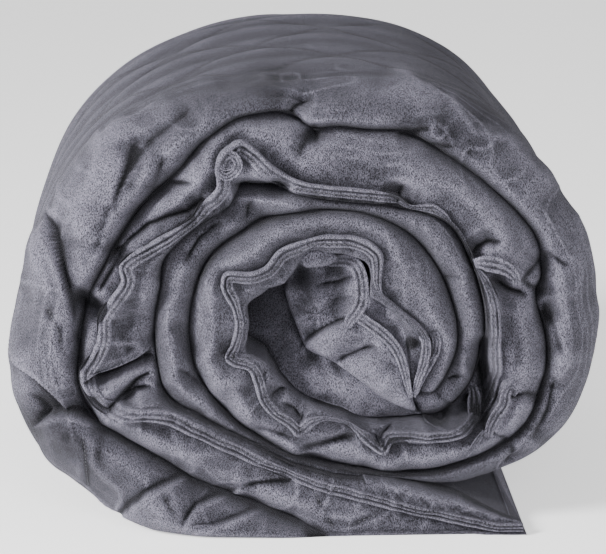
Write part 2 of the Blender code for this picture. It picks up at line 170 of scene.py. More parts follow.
def smooth_curve(places, values, wanted):
    """The smooth curve through rows of places and values."""
    places, values = np.asarray(places, float), np.asarray(values, float)
    slopes = np.gradient(values, places)
    index = np.clip(np.searchsorted(places, wanted, side="right") - 1, 0, len(places) - 2)
    span = places[index + 1] - places[index]
    share = (wanted - places[index]) / span
    square, cube = share ** 2, share ** 3
    return (
        (2 * cube - 3 * square + 1) * values[index]
        + (cube - 2 * square + share) * slopes[index] * span
        + (3 * square - 2 * cube) * values[index + 1]
        + (cube - square) * slopes[index + 1] * span
    )


def traced_radius(rows, depth, wanted):
    """Radius in millimetres of a line that the photograph shows, at the wanted turn angles."""
    degrees, radii = np.array(rows, float).T
    angle = np.radians(degrees)
    x, _, z = placed(
        CENTRE_PX[0] + radii * np.cos(angle), CENTRE_PX[1] - radii * np.sin(angle), depth
    ).T
    found = np.degrees(np.arctan2(z - CENTRE_Z, x - CENTRE_X))
    found += TURN_DEG * np.round((degrees - found) / TURN_DEG)
    found[0], found[-1] = degrees[0], max(degrees[-1], LAST_DEG)
    return smooth_curve(found, np.hypot(x - CENTRE_X, z - CENTRE_Z), wanted)


def downward(turn_deg):
    """How far a turn angle falls for each millimetre from the centre, at least LEAST_FALL."""
    return np.maximum(-np.sin(np.radians(turn_deg)), LEAST_FALL)


def floor_radius(turn_deg):
    """Radius at which a turn meets the surface; very large where it doesn't."""
    fall = downward(turn_deg)
    return np.where(fall > LEAST_FALL, CENTRE_Z / fall, 1e6)


class Lines:
    """Radii of the winding's lines at every station."""

    def __init__(self, stations):
        self.deg = stations
        seam = traced_radius(SEAM_PX, LIP_DEPTH, stations)
        outer = np.maximum(traced_radius(OUTER_PX, LIP_DEPTH, stations), seam + LEAST_LAYER)
        outer = np.minimum(outer, floor_radius(stations))
        hem = traced_radius(HEM_PX, 0.0, stations)
        inner = np.interp(stations - TURN_DEG, stations, outer)
        core = traced_radius(CORE_PX, LIP_DEPTH, np.minimum(stations, CORE_PX[-1][0]))
        inner = np.where(stations < FIRST_DEG + TURN_DEG, core, inner)
        top_deg, top_height = np.array(TONGUE_TOP, float).T
        height = np.interp(stations, top_deg, top_height)
        tongue = (CENTRE_Z - height) / downward(stations)
        inner = np.where(stations > TONGUE_DEG, tongue, inner)
        seam = np.minimum(seam, outer - LEAST_LAYER)
        hem = np.clip(hem, inner + HEM_CLEAR[0], seam - HEM_CLEAR[1])
        self.inner, self.hem, self.seam, self.outer = inner, hem, seam, outer


def station_angles():
    """Turn angles of the stations: the same in each turn, closer together where the hem runs far."""
    fine = np.arange(FIRST_DEG, LAST_DEG, FINE_DEG)
    lines = Lines(fine)
    speeds = []
    for line in (lines.hem, lines.seam):
        speeds.append(np.hypot(np.gradient(line, fine), np.radians(line)))
    speed = np.clip(np.maximum(*speeds), *LINE_SPEEDS)
    turns = -(-len(fine) // FINE_STEPS)
    speed = np.pad(speed, (0, turns * FINE_STEPS - len(fine))).reshape(turns, FINE_STEPS).max(0)
    even = np.convolve(np.tile(speed, 3), np.ones(15) / 15, "same")[FINE_STEPS:2 * FINE_STEPS]
    reached = np.concatenate([[0], np.cumsum(even)])
    offsets = np.interp(np.arange(TURN) / TURN * reached[-1], reached, np.arange(FINE_STEPS + 1) * FINE_DEG)
    angles = FIRST_DEG + np.concatenate([offsets, offsets + TURN_DEG])
    return angles[angles <= LAST_DEG]


STATIONS = station_angles()
TONGUE = int(np.searchsorted(STATIONS, TONGUE_DEG))
LINES = Lines(STATIONS)


def flat_points(radius, turn_deg=STATIONS):
    """X and Z in millimetres of a line round the centre."""
    angle = np.radians(turn_deg)
    return np.stack([CENTRE_X + radius * np.cos(angle), CENTRE_Z + radius * np.sin(angle)], -1)


def soften(values, reach):
    """Values along the stations, evened over a few neighbours."""
    weights = np.hanning(2 * reach + 3)[1:-1]
    padded = np.pad(values, ((reach, reach), (0, 0)), mode="edge")
    even = [np.convolve(column, weights / weights.sum(), "valid") for column in padded.T]
    return np.stack(even, -1)


HEM_LINE = flat_points(LINES.hem)
ARC = np.concatenate([[0], np.cumsum(np.hypot(*(HEM_LINE[1:] - HEM_LINE[:-1]).T))])


def hem_inward():
    """Directions across the hem, toward the centre, one a station."""
    along = soften(np.gradient(HEM_LINE, axis=0), reach=3)
    along /= np.hypot(along[:, 0], along[:, 1])[:, None]
    return np.stack([-along[:, 1], along[:, 0]], -1)


HEM_INWARD = hem_inward()


# ------------------------------------------------------------------ soft noise

def lattice(cells, seed):
    """A repeatable value between -1 and 1 for every whole-number place."""
    x, y, z = np.moveaxis(cells, -1, 0)
    mixed = x * 73856093 ^ y * 19349663 ^ z * 83492791 ^ seed * 2654435
    mixed = (mixed ^ (mixed >> 13)) * 1274126177
    mixed = (mixed ^ (mixed >> 16)) & 0xFFFFF
    return mixed / 0x7FFFF - 1


def noise(places, seed=0):
    """Smooth noise between -1 and 1 over places in three directions."""
    cells = np.floor(places).astype(np.int64)
    share = places - cells
    share = share ** 3 * (share * (share * 6 - 15) + 10)
    total = 0
    for corner in range(8):
        step = np.array([corner & 1, corner >> 1 & 1, corner >> 2 & 1])
        weight = np.prod(np.where(step, share, 1 - share), axis=-1)
        total = total + weight * lattice(cells + step, seed)
    return total


def smooth_step(places, low, high):
    """A smooth rise from 0 to 1 between two places."""
    share = np.clip((places - low) / (high - low), 0, 1)
    return share * share * (3 - 2 * share)


def along_noise(places, wave, seed):
    """Smooth noise along one direction."""
    spread = np.zeros((len(places), 3))
    spread[:, 0] = places / wave
    spread[:, 1] = seed * 7.3
    return noise(spread, seed)


# ------------------------------------------------------------------ the two ends

# How far the front of each layer lies behind the near end, by turn angle
INNER_CROWN = (
    (-45, 24), (-40, 14), (0, 9), (90, 10), (200, 8), (285, 9), (300, 12), (318, 14), (327, 40),
    (343, 40), (354, 24), (362, 12), (400, 10), (470, 4), (500, 3), (530, 6), (548, 14), (560, 2),
    (580, 10), (620, 10), (650, 8), (673, 6),
)
HEM_DEPTH = (
    (-45, 20), (-40, 9), (-20, 5), (0, 5), (90, 5), (200, 4), (285, 4), (322, 4), (328, 26), (338, 28),
    (344, 5), (400, 5), (470, 0), (500, 0), (530, 1), (548, 4), (560, -1), (580, 2), (620, 3), (650, 3),
    (673, 5),
)
OUTER_CROWN = (
    (-45, 22), (-40, 10), (-20, 6), (90, 6), (200, 4), (300, 6), (345, 8), (372, 12), (385, 4), (430, 9),
    (475, 12), (520, 14), (545, 12), (565, 8), (600, 8), (640, 6), (673, 7),
)
FOLD_CROWN = (
    (-45, 28), (-38, 16), (-30, 12), (30, 10), (120, 12), (200, 8), (290, 14), (330, 16), (360, 14),
    (400, 18), (450, 10), (500, 16), (545, 8), (580, 5), (605, 0), (622, 0), (632, 5), (673, 6),
)
# How far beside the hem the inner puff still rises to it, in millimetres
HEM_SLOPE = ((-45, 22), (316, 22), (324, 7), (352, 7), (362, 22), (673, 22))
# Share of the hem's full width that shows, by turn angle
HEM_SHARE = (
    (-45, 0.8), (-14, 0.8), (-6, 0.3), (26, 0.3), (36, 0.9), (110, 1), (160, 0.85), (200, 0.75),
    (320, 0.75), (346, 0.75), (356, 1), (376, 1), (384, 0.85), (392, 1), (575, 1), (600, 0.85),
    (640, 0.75), (673, 0.6),
)
SHOULDER = 26.0                              # how far in a layer's rounded edge reaches
ROUNDING = 27.0                              # how deep it goes by then
CREASE = 30.0                                # how much deeper the crease goes
RIM_SHOULDER, FLOOR_SHOULDER = 62.0, 9.0     # a shoulder where the rim starts, above and at the surface
LYING_TURNS = (575, 605)                     # where the outer fold comes to lie on the surface
PARTED_TURNS = (620, 632)                    # where it ends, and the tongue itself lies there
HEM_WIDTH = 9.6                              # of the hem's band
FREE_LAYER, NARROW_LAYER = 13.0, 12.5        # layers thinner than these hold the band down and narrow it
HEM_WAVES = ((1.8, 17, 3), (0.9, 7, 4))      # height and length of its waves along the hem, and the seed
RIBS = ((0.16, 0.7), (0.5, 1.2), (0.87, 1.7))    # its ribs: share of the way to the free edge, and height
RIB_SPREAD = 0.12
RIB_DRIFT, RIB_DRIFT_WAVE = 0.16, 23         # how far the ribs wander across the band, and how often
RIB_HEIGHT, RIB_SWELL, RIB_SWELL_WAVE = 0.95, 0.45, 31
FULL_RIBS = (570, 595)                       # between these the ribs grow half as high again
HEM_LIFT = 1.8                               # of its free edge
HEM_THICKNESS = 4.0
EDGE_INWARD = (-0.7, -0.7, 0.6, 3.5)         # how far in each point of the free edge's turn lies
EDGE_DEPTH = (0.9, 2.4, 4.0, 5.5)            # and how far behind the edge's front
BASE_DROP, BASE_REACH, BASE_DEPTH = 4.0, 10.0, 1.4       # how the inner puff meets the stitched base
BASE_CLEAR = 1.0                             # least distance of the base from the turn inside it
HEM_FOOT, FOOT_REACH = 5.0, 20.0             # how deep the outer puff starts below it, and how far it dips
STEEPEST = 1.5                               # drop of a rounded edge, against its reach
END_SPAN = 40                                # degrees before the winding's end in which the creases run out
INNER_SAMPLES, BAND_SAMPLES, OUTER_SAMPLES, FOLD_SAMPLES = 26, 14, 30, 46
BACK_SAMPLES, BACK_CROWN = 9, 4.0            # of each layer at the far end


def rounded(share):
    """Share of the drop of a layer's rounded edge, part a circle's and part a gentler slope."""
    return 0.65 * (1 - np.sqrt(1 - share ** 2)) + 0.35 * share ** 1.6


def puff(low, high, crown, low_drop, high_drop, samples, low_reach=SHOULDER, high_reach=SHOULDER,
         high_most=0.5, steepest=STEEPEST):
    """A rounded layer between two lines: its places and depths, one row a station."""
    share = ((1 - np.cos(np.linspace(0, np.pi, samples))) / 2)[:, None]
    places = low[:, None] + (high - low)[:, None] * share
    width = np.maximum(np.hypot(*(high - low).T), 0.001)[:, None]
    low_reach = np.minimum(low_reach, width * (1 - high_most))
    high_reach = np.minimum(high_reach, width * high_most)
    from_low = np.clip(width * share[:, 0] / low_reach, 0, 1)
    from_high = np.clip(width * (1 - share[:, 0]) / high_reach, 0, 1)
    low_drop = np.minimum(low_drop, low_reach * steepest)
    high_drop = np.minimum(high_drop, high_reach * STEEPEST)
    depth = crown[:, None] + low_drop * rounded(1 - from_low) + high_drop * rounded(1 - from_high)
    return places, depth


def crown_of(rows):
    """A table's value at every station, with its corners softened."""
    degrees, values = np.array(rows, float).T
    return soften(np.interp(STATIONS, degrees, values)[:, None], reach=12)[:, 0]


def hem_widths():
    """Width of the hem's band at every station, narrower where the layer inside it is thin."""
    return HEM_WIDTH * crown_of(HEM_SHARE) * np.clip((LINES.hem - LINES.inner) / NARROW_LAYER, 0, 1)


def ribs(share):
    """Height of the hem's ribs, the free edge the fullest, by share of the way to it."""
    height = 0
    for middle, tall in RIBS:
        height = height + tall * np.exp(-((share - middle) / RIB_SPREAD) ** 2)
    return height


def hem_base():
    """The line of the hem's stitched base, kept clear of the turn inside it."""
    base = HEM_LINE + HEM_INWARD * hem_widths()[:, None]
    least = LINES.inner + BASE_CLEAR
    past = np.hypot(*(base - [CENTRE_X, CENTRE_Z]).T) < least
    base[past] = flat_points(np.minimum(least, LINES.hem - 0.5))[past]
    return base


def distance(places, line):
    """Distance of every place from its station's point of a line."""
    return np.hypot(*(places - line[:, None]).transpose(2, 0, 1))


def inner_puff(inner, base, hem_d):
    """The layer inside the hem, rising to the hem's base."""
    places, depth = puff(inner, base, crown_of(INNER_CROWN), ROUNDING, BASE_DROP, INNER_SAMPLES,
                         high_reach=BASE_REACH)
    blend = np.clip(1 - distance(places, base) / crown_of(HEM_SLOPE)[:, None], 0, 1) ** 2
    return places, depth * (1 - blend) + (hem_d + BASE_DEPTH) * blend


def ribbed_band(base, hem_d, spare):
    """The hem's band, from its stitched base to its free edge."""
    share = np.linspace(0, 1, BAND_SAMPLES)[1:]
    places = base[:, None] + (HEM_LINE - base)[:, None] * share[:, None]
    drift = RIB_DRIFT * along_noise(ARC, RIB_DRIFT_WAVE, 5)[:, None] * np.sin(np.pi * share)
    swell = RIB_HEIGHT + RIB_SWELL * along_noise(ARC, RIB_SWELL_WAVE, 6)[:, None]
    rib = ribs(share + drift) * swell * (1 + 0.5 * smooth_step(STATIONS, *FULL_RIBS)[:, None])
    return places, hem_d - (rib + HEM_LIFT * share) * spare


def free_edge(hem_d, spare):
    """The band's edge, turning back to the outer puff below."""
    over = np.array(EDGE_INWARD)[:, None] * spare[:, None]
    places = HEM_LINE[:, None] + HEM_INWARD[:, None] * over
    return places, hem_d + (np.array(EDGE_DEPTH) - HEM_LIFT) * spare


def outer_puff(start, seam, foot, joined):
    """The layer from under the hem's free edge to the fold outside it."""
    places, depth = puff(start, seam, crown_of(OUTER_CROWN), 0.0, ROUNDING * joined + 1, OUTER_SAMPLES)
    places, depth = places[:, 1:], depth[:, 1:]
    blend = np.clip(1 - distance(places, start) / FOOT_REACH, 0, 1) ** 1.5
    return places, depth * (1 - blend) + np.maximum(foot, depth + 3) * blend


def outer_fold(seam, outer, joined):
    """The plain fold outside, rounding off to the rim or lying on the surface."""
    lying = smooth_step(STATIONS, *LYING_TURNS)[:, None]
    rim_reach = RIM_SHOULDER + (FLOOR_SHOULDER - RIM_SHOULDER) * lying
    rim_share = smooth_step(STATIONS, *RIM_TURNS)[:, None]
    return puff(
        seam, outer, crown_of(FOLD_CROWN), ROUNDING * joined + 1,
        ROUNDING + (rim_reach - ROUNDING) * rim_share, FOLD_SAMPLES,
        high_reach=SHOULDER + (rim_reach - SHOULDER) * rim_share,
        high_most=0.5 + 0.28 * rim_share - 0.6 * lying, steepest=STEEPEST + 3 * lying,
    )


def front_section():
    """X and Z places and depths of the whole front, one row a station."""
    inner, seam, outer = flat_points(LINES.inner), flat_points(LINES.seam), flat_points(LINES.outer)
    spare = np.clip((LINES.hem - LINES.inner) / FREE_LAYER, 0, 1)[:, None]
    waves = sum(tall * along_noise(ARC, wave, seed) for tall, wave, seed in HEM_WAVES)
    hem_d = crown_of(HEM_DEPTH)[:, None] + spare * waves[:, None]
    joined = 1 - smooth_step(STATIONS, *PARTED_TURNS)[:, None]
    base = hem_base()
    inner_p, inner_d = inner_puff(inner, base, hem_d)
    band_p, band_d = ribbed_band(base, hem_d, spare)
    edge_p, edge_d = free_edge(hem_d, spare)
    outer_p, outer_d = outer_puff(edge_p[:, -1], seam, edge_d[:, -1:] + HEM_FOOT * spare, joined)
    fold_p, fold_d = outer_fold(seam, outer, joined)
    # the creases between the layers, shallower beside a thin layer, run out where the winding ends
    end = np.clip((LAST_DEG - STATIONS) / END_SPAN, 0, 1)[:, None]
    inner_groove_d = inner_d[:, :1] + CREASE * end
    beside_seam = np.minimum(LINES.seam - LINES.hem, LINES.outer - LINES.seam)[:, None]
    seam_groove = np.minimum(CREASE, 4 + 1.2 * beside_seam) * joined + 0.5
    beside_d = np.maximum(outer_d[:, -1:], fold_d[:, :1])
    seam_groove_d = outer_d[:, -1:] * (1 - end) + (beside_d + seam_groove) * end
    on_rim = (STATIONS > RIM_TURNS[0])[:, None]
    outer_groove_d = np.where(on_rim, fold_d[:, -1:], fold_d[:, -1:] + CREASE)
    fold_d[:, 0] += 0.5
    places = [inner[:, None], inner_p, band_p, edge_p, outer_p, seam[:, None], fold_p, outer[:, None]]
    depths = [inner_groove_d, inner_d, band_d, edge_d, outer_d, seam_groove_d, fold_d, outer_groove_d]
    return np.concatenate(places, 1), np.concatenate(depths, 1)


def back_section():
    """X and Z places and depths of the far end, plainly rounded."""
    inner, seam, outer = flat_points(LINES.inner), flat_points(LINES.seam), flat_points(LINES.outer)
    crown = np.full(len(STATIONS), BACK_CROWN)
    low_p, low_d = puff(inner, seam, crown, 18, 12, BACK_SAMPLES)
    high_p, high_d = puff(seam, outer, crown + 4, 10, 20, BACK_SAMPLES)
    places = np.concatenate([inner[:, None], low_p[:, 1:], high_p[:, 1:-1], outer[:, None]], 1)
    depth = [low_d[:, :1] + 16, low_d[:, 1:], high_d[:, 1:-1], high_d[:, -1:] + 12]
    return places, ROLL_LENGTH - np.concatenate(depth, 1)


def standing(places, depth):
    """Points in millimetres from X and Z places and depths."""
    return np.stack([places[..., 0], NEAR_Y + depth, places[..., 1]], -1)


# ------------------------------------------------------------------ rim

RIM_ROWS = 72
DIAMOND_MM = 141.0                           # a quilted diamond, corner to corner
RIM_GIRTH = 200.0                            # the rim's radius as the quilting counts it
PILLOW, SEWN_DEPTH = 2.6, 2.6                # height of a diamond, and depth of its sewn lines
TOP_LOFT = 3.6                               # how much fuller the outer turn is on top
RIDGE_HEIGHT, RIDGE_WAVE = 0.8, 57.0         # of the soft ridges round it
RIDGE_TURN, RIDGE_SPREAD = 495, 60           # where they are highest, and how far they reach
QUILT_FROM, QUILT_LENGTH = 60.0, 320.0       # depth at which the quilting starts, and how long it is
QUILT_SPAN = 25                              # degrees after the rim is full in which the quilting grows
REST_HEIGHT = 14.0                           # below this the plush grows smooth, down to the surface


def spiral_points(turn_deg, radius, depth):
    """Points in millimetres from turn angle, radius and depth."""
    angle = np.radians(turn_deg)
    across, depth = np.broadcast_arrays(radius * np.cos(angle), depth)
    upward = np.broadcast_to(radius * np.sin(angle), across.shape)
    return np.stack([CENTRE_X + across, NEAR_Y + depth, CENTRE_Z + upward], -1)


def rim_radius(turn_deg, base, depth):
    """Radius of the rim, with its quilted diamonds and soft ridges."""
    along = np.radians(turn_deg) * RIM_GIRTH
    across, back = (along + depth) / DIAMOND_MM, (along - depth) / DIAMOND_MM
    pillow = np.abs(np.sin(np.pi * across) * np.sin(np.pi * back)) ** 0.5
    near = np.clip(1.5 - np.abs(turn_deg - RIDGE_TURN) / RIDGE_SPREAD, 0, 1)
    ridge = RIDGE_HEIGHT * np.cos(2 * np.pi * depth / RIDGE_WAVE) * near
    upward = np.sin(np.radians(turn_deg))
    loft = TOP_LOFT * np.clip(upward, 0, 1) ** 3
    share = (depth - QUILT_FROM) / QUILT_LENGTH
    strength = smooth_step(8 * np.minimum(share, 1 - share), 0, 1)
    strength = strength * np.clip((CENTRE_Z + base * upward) / REST_HEIGHT, 0, 1)
    strength = strength * np.clip((turn_deg - RIM_TURNS[1]) / QUILT_SPAN, 0, 1)
    radius = base + strength * (PILLOW * pillow - SEWN_DEPTH + ridge + loft)
    return np.minimum(radius, floor_radius(turn_deg))


# ------------------------------------------------------------------ mesh helpers

def mesh_object(name, points, faces):
    """A smooth mesh object from points in millimetres."""
    data = bpy.data.meshes.new(name)
    data.from_pydata((np.asarray(points) * MM).tolist(), [], faces)
    data.validate()
    data.shade_smooth()
    result = bpy.data.objects.new(name, data)
    bpy.context.scene.collection.objects.link(result)
    return result


def points_and_normals(data):
    """A mesh's points in millimetres, and the directions they face."""
    points, normals = np.zeros((2, len(data.vertices) * 3), np.float32)
    data.vertices.foreach_get("co", points)
    data.vertex_normals.foreach_get("vector", normals)
    return points.reshape(-1, 3).astype(float) / MM, normals.reshape(-1, 3).astype(float)


def without_repeats(quads):
    """Quads as lists of corners, with repeated corners dropped."""
    faces = []
    for quad in quads.tolist():
        face = [corner for index, corner in enumerate(quad) if corner != quad[index - 1]]
        if len(set(face)) > 2:
            faces.append(face)
    return faces


def grid_quads(index, flip=False):
    """Quads between the neighbours of a grid of point numbers."""
    quads = np.stack([index[:-1, :-1], index[:-1, 1:], index[1:, 1:], index[1:, :-1]], -1).reshape(-1, 4)
    return quads[:, ::-1] if flip else quads


# ------------------------------------------------------------------ the skin

class Skin:
    """Collects the points and faces of the blanket's skin."""

    def __init__(self):
        self.points, self.lifts, self.faces, self.count = [], [], [], 0

    def add(self, points, outward=0.0):
        """Adds points; relief lifts them out of the end, or from the centre by the share outward."""
        shape = points.shape[:-1]
        index = self.count + np.arange(int(np.prod(shape))).reshape(shape)
        lift = np.zeros_like(points)
        outward = np.broadcast_to(outward, shape)
        lift[..., 1] = -(1 - outward)
        away = points[..., ::2] - [CENTRE_X, CENTRE_Z]
        away = away / np.maximum(np.hypot(away[..., 0], away[..., 1]), 1)[..., None]
        lift[..., ::2] = away * outward[..., None]
        lift /= np.maximum(np.linalg.norm(lift, axis=-1), 0.001)[..., None]
        self.points.append(points.reshape(-1, 3))
        self.lifts.append(lift.reshape(-1, 3))
        self.count += index.size
        return index

    def end_index(self, points, outward=0.0):
        """Point numbers of one end; turns that touch share theirs."""
        index = self.add(points, outward)
        index[0, :] = index[0, 0]
        index[TURN, 0] = index[0, 0]
        index[TURN + 1:TONGUE + 1, 0] = index[1:TONGUE - TURN + 1, -1]
        return index

    def finish(self, name, *grids):
        """The skin's object, each grid of the near end's values spread over all points, and the lifts."""
        points = np.concatenate(self.points)
        used = np.unique(np.concatenate([np.asarray(face) for face in self.faces]))
        renumber = np.full(len(points), -1)
        renumber[used] = np.arange(len(used))
        faces = [[int(renumber[corner]) for corner in face] for face in self.faces]
        spread = np.zeros((len(grids), len(points)))
        for row, grid in zip(spread, grids):
            row[:grid.size] = grid.ravel()
        lifts = np.concatenate(self.lifts)[used]
        return mesh_object(name, points[used], faces), *spread[:, used], lifts


def add_rim(skin, front, back, start_d, end_d):
    """The rim round the outermost turn, the tongue's top and its end."""
    first, top_first = TONGUE - TURN, TONGUE + 1
    rows = np.linspace(0, 1, RIM_ROWS + 1)[1:-1]
    turn_deg, base = STATIONS[first:, None], LINES.outer[first:, None]
    rim_d = start_d[first:, -1:] + (end_d[first:, -1:] - start_d[first:, -1:]) * rows
    rim = skin.add(spiral_points(turn_deg, rim_radius(turn_deg, base, rim_d), rim_d), 1)
    rim = np.concatenate([front[first:, -1:], rim, back[first:, -1:]], 1)
    skin.faces += without_repeats(grid_quads(rim))
    top_d = start_d[top_first:, :1] + (end_d[top_first:, :1] - start_d[top_first:, :1]) * rows
    top = skin.add(spiral_points(STATIONS[top_first:, None], LINES.inner[top_first:, None], top_d))
    top = np.concatenate([front[top_first:, :1], top, back[top_first:, :1]], 1)
    top = np.concatenate([rim[:1], top], 0)
    skin.faces += without_repeats(grid_quads(top, flip=True))
    ring = list(top[-1][::-1]) + list(front[-1, 1:-1]) + list(rim[-1]) + list(back[-1, 1:-1][::-1])
    skin.faces.append([int(corner) for corner in ring])


# Share of the hollow's radius at each ring of points, from its mouth in
HOLLOW_SHARES = (0.985, 0.96, 0.92, 0.86, 0.78, 0.68, 0.56, 0.42, 0.26, 0.12)
HOLLOW_TOWARD = (-0.55, 0.84)                # across and up, the way its floor goes deeper
HOLLOW_START, HOLLOW_SPAN = 46, 88           # where that starts, before the centre, and how far it goes on
HOLLOW_DEPTH, HOLLOW_DEEPER = 33, 56
BACK_HOLLOW_SHARE, BACK_HOLLOW_DEPTH = 0.6, 26


def hollow_depth(x, z):
    """Depth of the hollow's floor: the first turn's face, coming forward toward the bottom."""
    across, up = HOLLOW_TOWARD
    toward = across * (x - CENTRE_X) + up * (z - CENTRE_Z)
    rise = np.clip((toward + HOLLOW_START) / HOLLOW_SPAN, 0, 1)
    return HOLLOW_DEPTH + HOLLOW_DEEPER * rise ** 1.15


def back_hollow_depth(x, z):
    """Depth of the flat floor of the far end's hollow."""
    return np.full(np.broadcast(x, z).shape, ROLL_LENGTH - BACK_HOLLOW_DEPTH)


def add_hollow(skin, index, shares, floor_depth, flip):
    """The wall and the floor of the hollow core at one end."""
    wall = [index[:TURN, 0]]
    for share in shares:
        ring = spiral_points(STATIONS[:TURN], LINES.inner[:TURN] * share, 0.0)
        ring[:, 1] = NEAR_Y + floor_depth(ring[:, 0], ring[:, 2])
        wall.append(skin.add(ring))
    middle = floor_depth(np.array([CENTRE_X]), np.array([CENTRE_Z]))[0]
    wall.append(np.full(TURN, skin.add(spiral_points(np.zeros(1), np.zeros(1), middle))[0]))
    wall = np.stack(wall)
    wall = np.concatenate([wall, wall[:, :1]], 1)
    skin.faces += without_repeats(grid_quads(wall, flip=flip))


def blanket_skin():
    """The whole blanket's skin, closed."""
    skin = Skin()
    front_places, depth = front_section()
    outward = np.zeros(depth.shape)
    share = smooth_step(np.arange(FOLD_SAMPLES) / FOLD_SAMPLES, 0.35, 1.0)
    outward[:, -FOLD_SAMPLES - 1:-1] = share * smooth_step(STATIONS, *RIM_TURNS)[:, None]
    outward[:, -1] = outward[:, -2]
    front = skin.end_index(standing(front_places, depth), outward)
    back_places, back_d = back_section()
    back = skin.end_index(standing(back_places, back_d))
    skin.faces += without_repeats(grid_quads(front))
    skin.faces += without_repeats(grid_quads(back, flip=True))
    add_rim(skin, front, back, depth, back_d)
    add_hollow(skin, front, HOLLOW_SHARES, hollow_depth, flip=False)
    add_hollow(skin, back, (BACK_HOLLOW_SHARE,), back_hollow_depth, flip=True)
    return skin.finish("blanket_skin", gathers(front_places), crease_shade(front_places))


CREASE_SHADE, CREASE_REACH = 0.6, 2.4        # painted shade in the creases: how much, and within how many millimetres


def crease_shade(places):
    """Painted shade: how much darker the colour is painted where two layers meet in a crease."""
    shade = np.zeros(places.shape[:2])
    for line, strength in (
        (LINES.inner, STATIONS > FIRST_DEG + TURN_DEG),
        (LINES.seam, 1 - smooth_step(STATIONS, *PARTED_TURNS)),
        (LINES.outer, STATIONS <= RIM_TURNS[0]),
    ):
        gap = distance(places, flat_points(line))
        shade = np.maximum(shade, strength[:, None] * np.exp(-(gap / CREASE_REACH) ** 1.3))
    return CREASE_SHADE * shade


PLEAT_WIDTH, PLEAT_LENGTH = 8.5, 45          # of the small gathers, along the hem and away from it
PLEAT_HEIGHT, SWELL_HEIGHT = 1.1, 2.4        # of them, and of the broader swells they start from
FULL_GATHERS = 24                            # thickness of the layer at which they are full


def gathers(places):
    """Heights of the small gathers that the hem's stitches draw up on either side of it."""
    from_hem = distance(places, HEM_LINE)
    inside = np.arange(places.shape[1])[None] <= INNER_SAMPLES + BAND_SAMPLES
    along, side = np.broadcast_arrays(ARC[:, None] / PLEAT_WIDTH, np.where(inside, 0.5, 2.5))
    spots = np.stack([along, from_hem / PLEAT_LENGTH, side], -1)
    pleats = 1 - np.abs(noise(spots, 31)) * 1.6
    beyond = np.clip(from_hem - HEM_WIDTH, 0, 200)
    out = 1 - np.exp(-from_hem / 4)
    fade = np.where(inside, np.exp(-beyond / 15), 0.8 * np.exp(-from_hem / 12) * out)
    broad = np.where(inside, np.exp(-beyond / 34), np.exp(-from_hem / 24) * out)
    swells = SWELL_HEIGHT * broad * noise(spots * [0.45, 0.8, 1.0], 32)
    heights = PLEAT_HEIGHT * fade * (pleats - 0.45) + swells
    on_band = np.zeros(places.shape[1])
    on_band[INNER_SAMPLES + 1:INNER_SAMPLES + BAND_SAMPLES + 4] = 1
    heights = heights * (1 - 0.75 * on_band)
    return heights * np.clip((LINES.hem - LINES.inner) / FULL_GATHERS, 0, 1)[:, None]


# ------------------------------------------------------------------ folds

